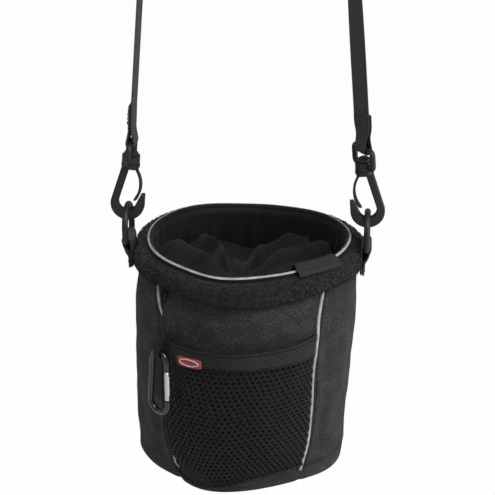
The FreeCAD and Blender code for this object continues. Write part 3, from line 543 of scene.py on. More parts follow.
def heather_cloth():
    """Melange polyester: a dark ground with short paler slubs along both threads."""
    material, tree, shader = blank_material("heather_cloth", 0.85, Sheen_Weight=0.04,
                                            Specular_IOR_Level=0.15)
    weft = noise(tree, scaled_uv(tree, 330, 2600))
    warp = noise(tree, scaled_uv(tree, 2600, 480))
    cloud = maths(tree, "SUBTRACT", noise(tree, scaled_uv(tree, 60, 90)), 0.5)
    slubs = maths(tree, "ADD", maths(tree, "MAXIMUM", weft, warp), maths(tree, "MULTIPLY", cloud, 0.34))
    colour_by(tree, shader, slubs, (0.44, grey(0.018, 0.04)), (0.58, grey(0.036, 0.04)),
              (0.72, grey(0.085, 0.04)))
    bump(tree, shader, maths(tree, "ADD", weave_height(tree, 1900, 1700), slubs), 0.12 * MM, 0.5)
    return material


def lining_cloth():
    """Thin black taffeta, a little uneven in its dye."""
    material, tree, shader = blank_material("lining_cloth", 0.6, Sheen_Weight=0.05,
                                            Specular_IOR_Level=0.12)
    shade = noise(tree, object_place(tree), 60.0, 2.0)
    colour_by(tree, shader, shade, (0.3, grey(0.0085, 0.07)), (0.7, grey(0.0125, 0.07)))
    bump(tree, shader, weave_height(tree, 2600, 2600), 0.05 * MM, 0.35)
    return material


def reflective_tape():
    """Silver reflective tape: pale, with fine glass grains and worn patches."""
    material, tree, shader = blank_material("reflective_tape", 0.45, Specular_IOR_Level=0.4)
    grain = node(tree, "ShaderNodeTexVoronoi", {"Vector": object_place(tree), "Scale": 2600.0})
    colour_by(tree, shader, noise(tree, object_place(tree), 160.0), (0.35, grey(0.34)), (0.7, grey(0.56)))
    bump(tree, shader, grain.outputs["Distance"], 0.05 * MM, 0.4)
    return material


def pile_cloth(name, low, high):
    """Brushed loop pile: tufts, with painted shade darkening the hollows between them."""
    material, tree, shader = blank_material(name, 0.95, Sheen_Weight=0.10, Sheen_Roughness=0.6,
                                            Specular_IOR_Level=0.05)
    tufts = noise(tree, object_place(tree), 1900.0, 4.0, Roughness=0.7)
    clumps = noise(tree, object_place(tree), 1300.0)
    mixed = maths(tree, "MULTIPLY", maths(tree, "ADD", tufts, clumps), 0.5)
    # colour follows the tufts' height: painted shade makes their hollows darker, and the clumps add random
    # tone
    colour_by(tree, shader, mixed, (0.40, grey(low, -0.04)), (0.50, grey((low + high) / 2, -0.04)),
              (0.60, grey(high, -0.04)))
    bump(tree, shader, tufts, 0.4 * MM, 0.7)
    return material


def woven_tape(name, dark, light):
    """Webbing: a coarse plain weave with finer fibres along it."""
    material, tree, shader = blank_material(name, 0.62, Sheen_Weight=0.05, Specular_IOR_Level=0.2)
    ribs = weave_height(tree, 800, 1200)
    fibres = noise(tree, scaled_uv(tree, 2200, 700), detail=2.0)
    # the ribs' height also darkens the colour in the weave's hollows as painted shade; the fibres are the
    # tape's own tone
    mixed = maths(tree, "ADD", maths(tree, "MULTIPLY", ribs, 0.25), fibres)
    colour_by(tree, shader, mixed, (0.3, grey(dark)), (0.75, grey(light)))
    bump(tree, shader, ribs, 0.35 * MM, 0.8)
    return material


def mesh_yarn():
    """Black knitting yarn."""
    material, tree, shader = blank_material("mesh_yarn", 0.6, Sheen_Weight=0.03,
                                            Specular_IOR_Level=0.12)
    yarn = noise(tree, object_place(tree, (1, 1, 0.4)), 1500.0)
    colour_by(tree, shader, yarn, (0.35, grey(0.007)), (0.7, grey(0.020)))
    bump(tree, shader, yarn, 0.3 * MM, 0.7)
    return material


def ribbed_elastic():
    """Dark woven elastic; its ribs are in the piece itself."""
    material, tree, shader = blank_material("ribbed_elastic", 0.6, Sheen_Weight=0.04,
                                            Specular_IOR_Level=0.15)
    rows = noise(tree, scaled_uv(tree, 2400, 500), detail=2.0)
    colour_by(tree, shader, rows, (0.3, grey(0.014, 0.03)), (0.7, grey(0.034, 0.03)))
    bump(tree, shader, weave_height(tree, 1300, 900), 0.15 * MM, 0.5)
    return material


def label_cloth():
    """Red damask of the label."""
    material, tree, shader = blank_material("label_cloth", 0.55)
    threads = noise(tree, scaled_uv(tree, 900, 4000), detail=2.0)
    colour_by(tree, shader, threads, (0.3, (0.30, 0.024, 0.030, 1)), (0.7, (0.44, 0.050, 0.056, 1)))
    bump(tree, shader, weave_height(tree, 2500, 2500), 0.08 * MM, 0.5)
    return material


def tab_weave():
    """Coarser webbing of the folded tab, mottled dark and pale."""
    material, tree, shader = blank_material("tab_weave", 0.7, Specular_IOR_Level=0.15)
    knuckles = weave_height(tree, 640, 900)
    fibres = noise(tree, scaled_uv(tree, 1800, 1800))
    # a little of the knuckles' height darkens the weave's hollows as painted shade; the fibres give the
    # mottled tone
    mixed = maths(tree, "ADD", maths(tree, "MULTIPLY", knuckles, 0.07), fibres)
    colour_by(tree, shader, mixed, (0.35, grey(0.006, 0.04)), (0.75, grey(0.075, 0.04)))
    bump(tree, shader, knuckles, 0.3 * MM, 0.6)
    return material


def thread(name, value):
    """Twisted sewing thread, or loose fibre, of a given grey."""
    material, tree, shader = blank_material(name, 0.6, Specular_IOR_Level=0.2)
    twist = noise(tree, object_place(tree), 3000.0, 2.0)
    colour_by(tree, shader, twist, (0.3, grey(value * 0.6)), (0.7, grey(value * 1.3)))
    return material


def moulded_plastic():
    """Satin black acetal, scuffed a little in patches."""
    material, tree, shader = blank_material("moulded_plastic", 0.42, Specular_IOR_Level=0.45)
    shader.inputs["Base Color"].default_value = grey(0.016)
    patchy_roughness(tree, shader, 240.0, 0.34, 0.52)
    bump(tree, shader, noise(tree, object_place(tree), 2200.0, 2.0), 0.04 * MM, 0.3)
    return material


def anodised_black():
    """Glossy black of the carabiner's body."""
    material, tree, shader = blank_material("anodised_black", 0.2, Coat_Weight=0.7, Coat_Roughness=0.06)
    shader.inputs["Base Color"].default_value = grey(0.008)
    patchy_roughness(tree, shader, 400.0, 0.18, 0.32)
    return material


def brushed_metal(name, value, roughness, stretch):
    """Bare metal with fine drawn lines; stretch gives their counts per metre along x, y and z."""
    material, tree, shader = blank_material(name, roughness, Metallic=1.0)
    shader.inputs["Base Color"].default_value = grey(value)
    bump(tree, shader, noise(tree, object_place(tree, stretch)), 0.03 * MM, 0.3)
    return material


def make_materials():
    """Every finish, by the record's material slot where it has one, or by its own name."""
    return {
        "heather_fabric": heather_cloth(),
        "lining_fabric": lining_cloth(),
        "reflective_piping": reflective_tape(),
        "pile_tape": pile_cloth("pile_tape_cloth", 0.005, 0.034),
        "pile_fibre": thread("pile_fibre", 0.016),
        "webbing": woven_tape("webbing_weave", 0.013, 0.090),
        "mesh": mesh_yarn(),
        "elastic": ribbed_elastic(),
        "label": label_cloth(),
        "tab_webbing": tab_weave(),
        "ribbon": woven_tape("ribbon_weave", 0.005, 0.018),
        "dark_thread": thread("dark_thread", 0.014),
        "tab_thread": thread("tab_thread", 0.045),
        "label_thread": thread("label_thread", 0.55),
        "black_plastic": moulded_plastic(),
        "black_metal": anodised_black(),
        "bright_metal": brushed_metal("bright_metal_brushed", 0.72, 0.26, (900, 900, 90)),
        "spring_wire": brushed_metal("spring_wire_drawn", 0.45, 0.35, (500, 500, 500)),
    }


FINISHES = {}


def finish_piece(piece, slot, body="pouch", replaced=()):
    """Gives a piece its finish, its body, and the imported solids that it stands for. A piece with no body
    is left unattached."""
    piece.data.materials.clear()
    piece.data.materials.append(FINISHES[slot])
    if body:
        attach(piece, body)
    if replaced:
        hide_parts(*replaced)


# ---------------------------------------------------------------- cloth of the body

CLOTH_THICKNESS = 1.0 * MM


def build_side_and_back():
    """The panel that runs from seam to seam round the sides and the back."""
    heights = np.linspace(WALL_LOW, WALL_TOP, 72)
    shares = np.linspace(0, 1, 200)
    seam = seam_azimuth(heights)[:, None]
    azimuths = seam + (TURN - 2 * seam) * shares[None, :]
    piece = surface("side_and_back_cloth", wall_point(azimuths, heights[:, None]))
    modify(piece, "SOLIDIFY", thickness=CLOTH_THICKNESS, offset=-1)
    finish_piece(piece, "heather_fabric", replaced=["side_back_panel"])


def build_front():
    """The front panel, between the two front seams."""
    heights = np.linspace(WALL_LOW, WALL_TOP, 84)
    shares = np.linspace(-1, 1, 74)
    azimuths = seam_azimuth(heights)[:, None] * shares[None, :]
    piece = surface("front_cloth", wall_point(azimuths, heights[:, None]))
    modify(piece, "SOLIDIFY", thickness=CLOTH_THICKNESS, offset=-1)
    finish_piece(piece, "heather_fabric", replaced=["front_panel"])


BASE_WAVES = 0.5 * MM
BASE_DISH = 1.5 * MM


def build_base():
    """The base: a flat round of cloth with a rounded edge that is sewn to the wall."""
    azimuths = np.linspace(0, TURN, 200, endpoint=False)[None, :]
    angles = np.linspace(0, math.pi / 2, 14)[:, None]
    edge = wall_point(azimuths, WALL_LOW * (1 - np.cos(angles)) + 0 * azimuths)
    centre = np.array([side_drift(0.0), 0, BASE])
    shares = np.linspace(0.03, 1, 26, endpoint=False)[:, None, None]
    flat = centre + (edge[:1] - centre) * shares
    spread = shares[..., 0] ** 2
    flat[..., 2] += BASE_WAVES * np.sin(9 * azimuths) * spread + BASE_DISH * (1 - spread)
    piece = surface("base_cloth", np.concatenate([flat, edge]), around=True, ends=True)
    modify(piece, "SOLIDIFY", thickness=CLOTH_THICKNESS, offset=-1)
    finish_piece(piece, "heather_fabric", replaced=["base_panel"])


# ---------------------------------------------------------------- lining

FOLDS = (
    # crest line from the folds' meeting place outwards (x, y in mm), height, width on its left and right
    (((-6, -44), (-20, -30), (-34, -10), (-46, 10), (-60, 24)), 12.0, 20, 5.5),
    (((-5, -42), (-11, -24), (-15, -4), (-18, 14), (-28, 28), (-34, 46)), 11.5, 7, 4.0),
    (((-2, -42), (-3, -26), (-7, -10), (-2, 2)), 4.5, 6, 6),
    (((1, -42), (6, -24), (10, -6), (18, 14), (28, 34), (40, 40)), 15.0, 11, 5.0),
    (((4, -44), (16, -28), (31, -10), (47, 8), (58, 28)), 14.5, 10, 6.0),
    (((6, -45), (24, -37), (44, -26), (60, -10)), 8.5, 10, 8),
)
FOLD_MEETING = (0.0, -0.046)
# y, and the height on which the folds lie there
FOLD_PLANE = (
    (-0.066, 146 * MM), (-0.045, 144.0 * MM), (0, 136.5 * MM), (0.040, 132.5 * MM), (0.066, 132 * MM),
)
OPENING_DEPTH = 0.085
OPENING_EDGE = (0.0545, 0.0585)
# height at which the lining leaves the wall, and how far in from the rim's circle it hangs there
LINING_LEVEL = 138 * MM
LINING_INSET = 2.2 * MM
LINING_DRAW = 2.5 * MM


def ridge_height(x, y, crest, tall, left, right):
    """Height that one fold adds: a crest line with a gentle side and a steep one."""
    path = smoothed([(px * MM, py * MM, 0) for px, py in crest], 0.5 * MM, 60)[:, :2]
    along = np.gradient(path, axis=0)
    away_x, away_y = x[..., None] - path[:, 0], y[..., None] - path[:, 1]
    nearest = np.argmin(away_x ** 2 + away_y ** 2, axis=-1)
    away_x = np.take_along_axis(away_x, nearest[..., None], -1)[..., 0]
    away_y = np.take_along_axis(away_y, nearest[..., None], -1)[..., 0]
    side = along[nearest, 0] * away_y - along[nearest, 1] * away_x
    share = nearest / (len(path) - 1)
    spread = 0.35 + 0.65 * share
    width = np.where(side > 0, left, right) * MM * spread
    swell = smooth(0, 0.34, share) * (1 - 0.5 * smooth(0.72, 1.0, share))
    return tall * MM * swell * np.exp(-(np.hypot(away_x, away_y) / width) ** 1.6)


def fold_field(x, y):
    """Height above the base of the loose lining: folds that spread from the front, and the way in
    behind them."""
    across, along = x - FOLD_MEETING[0], y - FOLD_MEETING[1]
    reach = np.hypot(across, along)
    plane = through(y, FOLD_PLANE) - 9 * MM * bell(x, 0.017) * smooth(-0.014, 0.020, y)
    ridges = np.stack([ridge_height(x, y, *fold) for fold in FOLDS])
    height = plane + 0.25 * ridges.sum(0) + 0.75 * ridges.max(0)
    small = np.sin(across * 150 + along * 60 + 2 * np.sin(along * 80)) * smooth(0.01, 0.05, reach)
    behind = smooth(*OPENING_EDGE, np.hypot(x, y)) * smooth(0.012, 0.030, y)
    return height + 0.24 * MM * small - OPENING_DEPTH * behind


def build_lining():
    """The loose lining: a field of folds across the mouth, and a puckered wall from there up to the rim."""
    azimuths = np.linspace(0, TURN, 320, endpoint=False)[None, :]
    shares = np.linspace(0, 1, 84)[:, None]
    field = place_on_bag(azimuths + 0 * shares, LINING_LEVEL + 0 * shares * azimuths,
                         (RIM_RADIUS - LINING_INSET - LINING_DRAW) * shares + 0 * azimuths)
    field[..., 2] = BASE + fold_field(field[..., 0], field[..., 1])
    rise = np.linspace(0, 1, 26)[1:, None]
    low = field[-1:, :, 2] - BASE
    top = RIM_HEIGHT - 0.4 * MM
    heights = low + (top - low) * rise ** 1.3
    gathers = np.cos(azimuths * 37 + 4 * np.sin(azimuths * 5) + 2 * np.sin(azimuths * 11 + rise * 3))
    puckers = 1.0 * MM * gathers * np.sin(rise ** 1.5 * math.pi)
    radius = RIM_RADIUS - LINING_INSET - LINING_DRAW * (1 - rise) ** 3 + puckers
    radius = radius + (LINING_INSET - WIRE_RADIUS - 0.7 * MM) * smooth(0.80, 1.0, rise)
    wall = place_on_bag(azimuths + 0 * rise, np.maximum(heights, LINING_LEVEL), radius)
    wall[..., 2] = BASE + heights
    piece = surface("lining_cloth", np.concatenate([field, wall])[::-1], around=True)
    modify(piece, "WELD", merge_threshold=0.002 * MM)
    modify(piece, "SOLIDIFY", thickness=0.6 * MM, offset=-1)
    finish_piece(piece, "lining_fabric", replaced=["lining"])


# ---------------------------------------------------------------- rim

def ring_path(radius, height, count, wave=0.0):
    """A line round the mouth, and the outward direction at each of its points."""
    azimuths = np.linspace(0, TURN, count, endpoint=False)
    lift = wave * (np.sin(azimuths * 5 + 0.7) + 0.6 * np.sin(azimuths * 11))
    path = place_on_bag(azimuths, RIM_HEIGHT + 0 * azimuths, radius + 0 * azimuths)
    path[:, 2] += height - RIM_HEIGHT + lift
    return path, radial(azimuths)


def build_wire():
    """The spring hoop: a wire bent, a little at a time, to the mouth's shape."""
    segments = 120
    bpy.ops.object.select_all(action="DESELECT")
    bpy.ops.mesh.primitive_torus_add(major_segments=segments, minor_segments=12, major_radius=RIM_RADIUS,
                                     minor_radius=WIRE_RADIUS, location=(0, 0, BASE + RIM_HEIGHT))
    hoop = bpy.context.active_object
    hoop.name = hoop.data.name = "spring_wire_hoop"
    bpy.ops.object.transform_apply(location=True, rotation=False, scale=False)
    places = [math.atan2(vertex.co.x, -vertex.co.y) for vertex in hoop.data.vertices]
    for number in range(segments):
        azimuth = -math.pi + TURN * number / segments
        bpy.ops.object.mode_set(mode="EDIT")
        bpy.ops.mesh.select_mode(type="VERT")
        bpy.ops.mesh.select_all(action="DESELECT")
        bpy.ops.object.mode_set(mode="OBJECT")
        for vertex, place in zip(hoop.data.vertices, places):
            vertex.select = math.cos(place - azimuth) > math.cos(math.pi / segments)
        shift = RIM_RADIUS * float(mouth_shape(azimuth))
        bpy.ops.object.mode_set(mode="EDIT")
        bpy.ops.transform.translate(value=(shift * math.sin(azimuth), -shift * math.cos(azimuth), 0))
        bpy.ops.object.mode_set(mode="OBJECT")
    bpy.ops.object.shade_smooth()
    finish_piece(hoop, "spring_wire", replaced=["rim_wire"])


RIM_POINTS = 300
BINDING_CLOTH = 0.5 * MM
# degrees above the outward direction between which the reflective strip lies on the binding
STRIP_LOW, STRIP_HIGH = 36, 80


def build_piping():
    """The binding round the wire, the reflective strip on it, and a thin dark cord below it that is painted
    shadow where the piping meets the band.
    """
    path, outward = ring_path(RIM_RADIUS, RIM_HEIGHT, RIM_POINTS, 0.12 * MM)
    radius = WIRE_RADIUS + BINDING_CLOTH
    binding = tube("rim_binding", path, radius, outward, closed=True, count=20)
    finish_piece(binding, "lining_fabric", replaced=["rim_piping"])
    angles = np.radians(np.linspace(STRIP_LOW, STRIP_HIGH, 7))
    arc = np.stack([np.cos(angles), np.sin(angles)], axis=1)
    section = np.concatenate([arc * (radius + 0.35 * MM), arc[::-1] * (radius - 0.1 * MM)])
    ups = np.broadcast_to(UP, outward.shape)
    strip = sweep("rim_piping_tape", path, outward, ups, section, closed=True)
    finish_piece(strip, "reflective_piping")
    # a dark cord in the groove between the piping and the band: painted shadow
    path, outward = ring_path(RIM_RADIUS + 2.1 * MM, RIM_HEIGHT - 1.1 * MM, RIM_POINTS)
    finish_piece(tube("rim_painted_shadow_cord", path, 0.7 * MM, outward, closed=True, count=10), "lining_fabric")


# azimuth in degrees, and the height of the band's lower edge
BAND_EDGE = (
    (-180, 136.5 * MM), (-110, 137.5 * MM), (-45, 140.0 * MM), (0, 137.4 * MM), (48, 138.8 * MM),
    (110, 137.0 * MM), (180, 136.5 * MM),
)
BAND_TOP = 150.6 * MM
BAND_SECTION = (
    # radius beyond the rim's, share of the way from the lower edge to the top
    (7.6 * MM, -0.06), (9.4 * MM, -0.02), (10.6 * MM, 0.06), (11.3 * MM, 0.20), (11.7 * MM, 0.38),
    (11.5 * MM, 0.56), (10.6 * MM, 0.72), (8.9 * MM, 0.86), (6.6 * MM, 0.95), (4.2 * MM, 1.00),
    (2.0 * MM, 0.97), (1.2 * MM, 0.86), (2.4 * MM, 0.62), (4.8 * MM, 0.30), (6.4 * MM, 0.08),
)
# places along the section that lie outside, from the lower edge to the top: loose loops stand only there
BAND_OUTSIDE = (-0.3, 10.2)


def pinch(azimuth):
    """Share by which the ring tabs press the band flat."""
    return bell((np.abs(folded(azimuth)) - math.pi / 2) * BELLY_RADIUS, 12 * MM)


def band_point(azimuth, place, out=0.0):
    """A point of the band's section: place counts along BAND_SECTION, which closes on itself."""
    azimuth, place = np.broadcast_arrays(np.asarray(azimuth, float), np.asarray(place, float))
    count = len(BAND_SECTION)
    knots = np.array(BAND_SECTION + BAND_SECTION[:1])
    fine = np.linspace(0, count, count * 8 + 1)
    radii = np.interp(place % count, fine, through(fine, list(enumerate(knots[:, 0]))))
    shares = np.interp(place % count, fine, through(fine, list(enumerate(knots[:, 1]))))
    low = through(np.degrees(folded(azimuth)), BAND_EDGE)
    plump = 1 - 0.20 * pinch(azimuth) + 0.03 * np.sin(azimuth * 5 + 1) + 0.015 * np.sin(azimuth * 11)
    radius = RIM_RADIUS + radii * plump + out * np.where(radii > 3 * MM, 1, 0.3)
    return place_on_bag(azimuth, low + (BAND_TOP - low) * shares, radius)


def build_band():
    """Loop pile round the mouth: a soft roll with tufted relief."""
    columns, rows = 900, 60
    azimuths = np.linspace(0, TURN, columns, endpoint=False)[None, :]
    places = np.linspace(0, len(BAND_SECTION), rows, endpoint=False)[:, None]
    chance = np.random.default_rng(5)
    tufts = chance.normal(0, 1, (rows, columns))
    tufts = (tufts + np.roll(tufts, 1, 0) + np.roll(tufts, 1, 1) + np.roll(tufts, (1, 1), (0, 1))) / 4
    lumps = soft_waves(azimuths, places * 2 * MM, 8, 90, 900, 16)
    depth = bpy.context.scene.pouch_sizes.pile_depth
    points = band_point(azimuths, places, depth * (0.35 * tufts + 0.12 * lumps))
    piece = surface("rim_band_pile", points, around=True, around_rows=True)
    finish_piece(piece, "pile_tape", replaced=["rim_band"])


def build_pile_loops():
    """Loose loops that stand out of the pile."""
    chance = np.random.default_rng(6)
    count = 6500
    azimuths = chance.uniform(0, TURN, count)
    places = chance.uniform(*BAND_OUTSIDE, count)
    feet = band_point(azimuths, places, 0)
    outs = unit(band_point(azimuths, places, 1 * MM) - feet)
    turns = chance.uniform(0, TURN, count)
    level = np.stack([np.cos(azimuths), np.sin(azimuths), 0 * azimuths], axis=1)
    rising = np.cross(level, outs)
    sides = level * np.cos(turns)[:, None] + rising * np.sin(turns)[:, None]
    spans = chance.uniform(0.35, 0.8, count)[:, None] * MM
    tall = chance.uniform(0.5, 1.15, count)[:, None] * MM
    arcs = np.linspace(0, math.pi, 6)
    centres = [feet - sides * spans * math.cos(angle) + outs * (tall * math.sin(angle) - 0.2 * MM)
               for angle in arcs]
    many_strands("rim_band_loops", np.stack(centres, axis=1), np.cross(sides, outs), 0.13 * MM,
                 "pile_fibre")


def many_strands(name, centres, sides, radius, slot, body="pouch"):
    """Short three-sided strands in one mesh. centres[strand, step] are their middles, sides[strand] a
    direction across them."""
    strands, steps = centres.shape[:2]
    along = unit(np.gradient(centres, axis=1))
    sides = np.broadcast_to(unit(sides)[:, None, :], centres.shape)
    ups = unit(np.cross(along, sides))
    taper = np.full(steps, 1.0)
    taper[[0, -1]] = 0.55
    corners = []
    for corner in range(3):
        angle = TURN * corner / 3
        towards = sides * math.cos(angle) + ups * math.sin(angle)
        corners.append(centres + radius * taper[None, :, None] * towards)
    points = np.stack(corners, axis=2).reshape(-1, 3)
    faces = []
    for strand in range(strands):
        for step in range(steps - 1):
            start = (strand * steps + step) * 3
            for corner in range(3):
                after = (corner + 1) % 3
                faces.append((start + corner, start + 3 + corner, start + 3 + after, start + after))
        first, last = strand * steps * 3, (strand * steps + steps - 1) * 3
        faces.append((first, first + 1, first + 2))
        faces.append((last + 2, last + 1, last))
    finish_piece(new_piece(name, points, faces), slot, body)


TAB_FROM, TAB_TO = math.radians(33.5), math.radians(64.5)
# place along the tab, and its distance outwards and upwards from the wire there
TAB_RADII = (
    (0, -4.0 * MM), (0.22, -3.7 * MM), (0.38, -2.2 * MM), (0.5, 0.4 * MM), (0.62, 3.0 * MM),
    (0.78, 5.2 * MM), (1, 7.6 * MM),
)
TAB_HEIGHTS = (
    (0, -5.5 * MM), (0.22, -0.5 * MM), (0.38, 2.7 * MM), (0.5, 3.6 * MM), (0.62, 2.4 * MM),
    (0.78, 0.6 * MM), (1, -1.9 * MM),
)
ZIGZAGS = 25


def tab_point(azimuth, place):
    """The folded tab: place runs 0 to 1 from its inner end, over the piping, to its outer end."""
    azimuth, place = np.broadcast_arrays(np.asarray(azimuth, float), np.asarray(place, float))
    tilt = 1.8 * MM * (1 - smooth(TAB_FROM, TAB_TO, azimuth)) * smooth(0.1, 0.4, place)
    radius = RIM_RADIUS + through(place, TAB_RADII)
    point = place_on_bag(azimuth, RIM_HEIGHT + 0 * azimuth, radius)
    point[..., 2] += through(place, TAB_HEIGHTS) + tilt
    return point


def build_tab():
    """Textured webbing folded over the rim, with a zigzag of stitches on its outer part."""
    azimuths = np.linspace(TAB_FROM, TAB_TO, 60)[None, :]
    places = np.linspace(0, 1, 44)[:, None]
    points = tab_point(azimuths, places)
    ribs = np.cos(azimuths * 230) * np.cos(places * 52)
    points[..., 2] += 0.12 * MM * ribs
    piece = surface("rim_tab_webbing", points[::-1])
    modify(piece, "SOLIDIFY", thickness=1.1 * MM, offset=0)
    finish_piece(piece, "tab_webbing", replaced=["rim_tab"])
    numbers = np.arange(ZIGZAGS)
    across = TAB_FROM + (TAB_TO - TAB_FROM) * (numbers + 0.5) / ZIGZAGS
    ends = tab_point(across, np.where(numbers % 2, 0.86, 0.68))
    outward = np.tile([0.6, -0.6, 0.5], (ZIGZAGS - 1, 1))
    stitch_between("rim_tab_stitches", ends[:-1], ends[1:], outward, "tab_thread", "pouch", 0.28 * MM,
                   0.62 * MM)


# ---------------------------------------------------------------- stitches

THREAD_RADIUS = 0.22 * MM


def stitch_between(name, starts, ends, normals, slot, body, radius, stand):
    """One bowed stitch from each start to its end, standing off along its normal."""
    normals = unit(np.asarray(normals, float))
    steps = []
    for share in np.linspace(0, 1, 6):
        bow = 0.9 * radius * math.sin(math.pi * share) - 0.5 * radius
        steps.append(starts + (ends - starts) * share + normals * (stand + bow))
    sides = np.cross(ends - starts, normals)
    many_strands(name, np.stack(steps, axis=1), sides, radius, slot, body)


def stitch_line(name, path, normals, slot="dark_thread", body="pouch", stand=0.12 * MM):
    """Running stitches along a path."""
    pitch = bpy.context.scene.pouch_sizes.stitch_length * 1.25
    length = np.concatenate([[0], np.cumsum(np.linalg.norm(np.diff(path, axis=0), axis=1))])
    count = max(int(length[-1] / pitch), 1)

    def along(values, share):
        """Values of the path at the given share of each stitch's pitch."""
        places = (np.arange(count) + share) * length[-1] / count
        return np.stack([np.interp(places, length, values[:, axis]) for axis in range(3)], axis=1)

    stitch_between(name, along(path, 0.1), along(path, 0.9), along(normals, 0.1), slot, body,
                   THREAD_RADIUS, stand)


# ---------------------------------------------------------------- pocket

# share of the way from the middle to a seam, and the height of each edge there
ELASTIC_TOP = (
    (-1, 109.0 * MM), (-0.6, 108.6 * MM), (0, 109.4 * MM), (0.6, 111.4 * MM), (1, 113.0 * MM),
)
ELASTIC_LOW = (
    (-1, 98.0 * MM), (-0.5, 98.4 * MM), (0, 99.4 * MM), (0.5, 100.2 * MM), (1, 100.2 * MM),
)
POCKET_LOW = (
    (-1, 6 * MM), (-0.6, 2.8 * MM), (-0.15, 5.5 * MM), (0.2, 10 * MM), (0.6, 13 * MM), (1, 15 * MM),
)
# share at which the pocket's cloth ends, just inside the seams
POCKET_EDGE = 0.985
# the mesh's height, its fullness across, and the height of a row as a share of the pitch
MESH_RISE = 94 * MM
MESH_FULLNESS = 1.03
ROW_SHARE = 0.82


def pocket_left(height):
    """Share at which the mesh ends on the left: it draws in towards the elastic."""
    return -POCKET_EDGE + 0.20 * smooth(0.060, 0.100, height)


def elastic_height(share, along):
    """Height on the elastic: along runs from 0 at its lower edge to 1 at its top edge."""
    low = through(share, ELASTIC_LOW)
    return low + (through(share, ELASTIC_TOP) - low) * along


def build_mesh_pocket():
    """Knitted mesh: rows of staggered oval holes with rounded yarn between them."""
    pitch = bpy.context.scene.pouch_sizes.mesh_pitch
    middle = float(seam_azimuth(0.06)) * BELLY_RADIUS
    columns = int(round(2 * middle * MESH_FULLNESS / pitch))
    rows = int(round(MESH_RISE / (pitch * ROW_SHARE)))
    index, flat, faces = {}, [], []

    def corner(key, across, along):
        if key not in index:
            index[key] = len(flat)
            flat.append((across, along))
        return index[key]

    for row in range(rows):
        shift = row % 2
        for column in range(columns - shift):
            x, y = 2 * column + shift, 2 * row
            ring = ((x, y), (x + 1, y), (x + 2, y), (x + 2, y + 1),
                    (x + 2, y + 2), (x + 1, y + 2), (x, y + 2), (x, y + 1))
            outer = [corner(place, *place) for place in ring]
            inner = []
            for number in range(8):
                angle = TURN * (number - 3) / 8
                inner.append(len(flat))
                flat.append((x + 1 + 0.58 * math.cos(angle), y + 1 + 0.74 * math.sin(angle)))
            for number in range(8):
                after = (number + 1) % 8
                faces.append((outer[number], outer[after], inner[after], inner[number]))
    flat = np.array(flat, float)
    share_across = flat[:, 0] / (2 * columns)
    share_along = flat[:, 1] / (2 * rows)
    share = -POCKET_EDGE + 2 * POCKET_EDGE * share_across
    low = through(share, POCKET_LOW)
    height = low + (through(share, ELASTIC_LOW) + 2 * MM - low) * share_along
    left = pocket_left(height)
    share = left + (POCKET_EDGE - left) * share_across
    inside = np.sin(share_across * math.pi) * np.sin(share_along * math.pi)
    share = share + 0.010 * inside * np.sin(share_along * 23 + share_across * 9)
    height = height + 1.1 * MM * inside * np.sin(share_across * 19 + share_along * 5)
    piece = new_piece("pocket_mesh", pocket_point(share, height), faces)
    modify(piece, "SOLIDIFY", thickness=0.9 * MM, offset=-1)
    modify(piece, "SUBSURF", levels=1, render_levels=1)
    select_only(piece)
    bpy.ops.object.shade_smooth()
    finish_piece(piece, "mesh", replaced=["mesh_pocket"])
    shares = np.linspace(-POCKET_EDGE, POCKET_EDGE, 120)
    binding = pocket_point(shares, through(shares, POCKET_LOW), 0.1 * MM)
    finish_piece(tube("pocket_hem", binding, 0.9 * MM, away(binding), count=10), "ribbon")


def build_elastic():
    """Ribbed elastic along the pocket's top, gathered at its left end, with a line of stitches at
    each edge."""
    shares = np.linspace(-1, 1, 150)[None, :]
    along = np.linspace(0, 1, 64)[:, None]
    ribs = 0.22 * MM * np.cos(along * TURN * 8)
    gathers = 0.25 * MM * np.cos(shares * 90) * bell(shares + 0.75, 0.2)
    stand = 1.3 * MM * (1 - 0.8 * np.abs(shares) ** 14) + (ribs + gathers)
    points = pocket_point(shares * POCKET_EDGE, elastic_height(shares, along), stand)
    piece = surface("pocket_elastic_band", points)
    modify(piece, "SOLIDIFY", thickness=1.5 * MM, offset=-1)
    finish_piece(piece, "elastic", replaced=["pocket_elastic"])
    shares = np.linspace(-0.98, 0.98, 200)
    for name, along in (("elastic_stitches_low", 0.07), ("elastic_stitches_top", 0.94)):
        path = pocket_point(shares, elastic_height(shares, along), 1.5 * MM)
        stitch_line(name, path, away(path))


LABEL_SHARE = -0.505
LABEL_HALF_WIDTH = 8.6 * MM
LABEL_HALF_HEIGHT = 3.2 * MM
LABEL_RISE = 2.4 * MM


def label_point(across, along, out):
    """A point of the label; across and along are lengths from its middle."""
    share = LABEL_SHARE + across / (float(seam_azimuth(0.1)) * (BELLY_RADIUS + 7 * MM))
    height = through(share, ELASTIC_LOW) + LABEL_RISE + along
    return pocket_point(share, height, out)


def label_outline(scale, count=48):
    """An oval with its ends, its top and its foot cut straight."""
    angles = np.linspace(0, TURN, count, endpoint=False)
    across = np.clip(1.28 * np.cos(angles), -1, 1) * LABEL_HALF_WIDTH * scale
    along = np.clip(1.22 * np.sin(angles), -1, 1) * LABEL_HALF_HEIGHT * scale
    return across, along


def build_label():
    """Red label with a rounded edge, and a plain pale oval on it."""
    rings = []
    for scale in (1.0, 0.99, 0.8, 0.5, 0.2, 0.02):
        across, along = label_outline(scale)
        rings.append(label_point(across, along, 1.6 * MM if scale == 1.0 else 2.15 * MM))
    piece = surface("pocket_label_patch", np.stack(rings), around=True, ends=True)
    finish_piece(piece, "label", replaced=["pocket_label"])
    angles = np.linspace(0, TURN, 160, endpoint=False)
    across, along = 0.74 * LABEL_HALF_WIDTH * np.cos(angles), 0.66 * LABEL_HALF_HEIGHT * np.sin(angles)
    path = label_point(across, along, 2.2 * MM)
    edge = tube("pocket_label_oval", path, 0.42 * MM, away(path), closed=True, count=8)
    finish_piece(edge, "label_thread")


# ---------------------------------------------------------------- seams and small loops

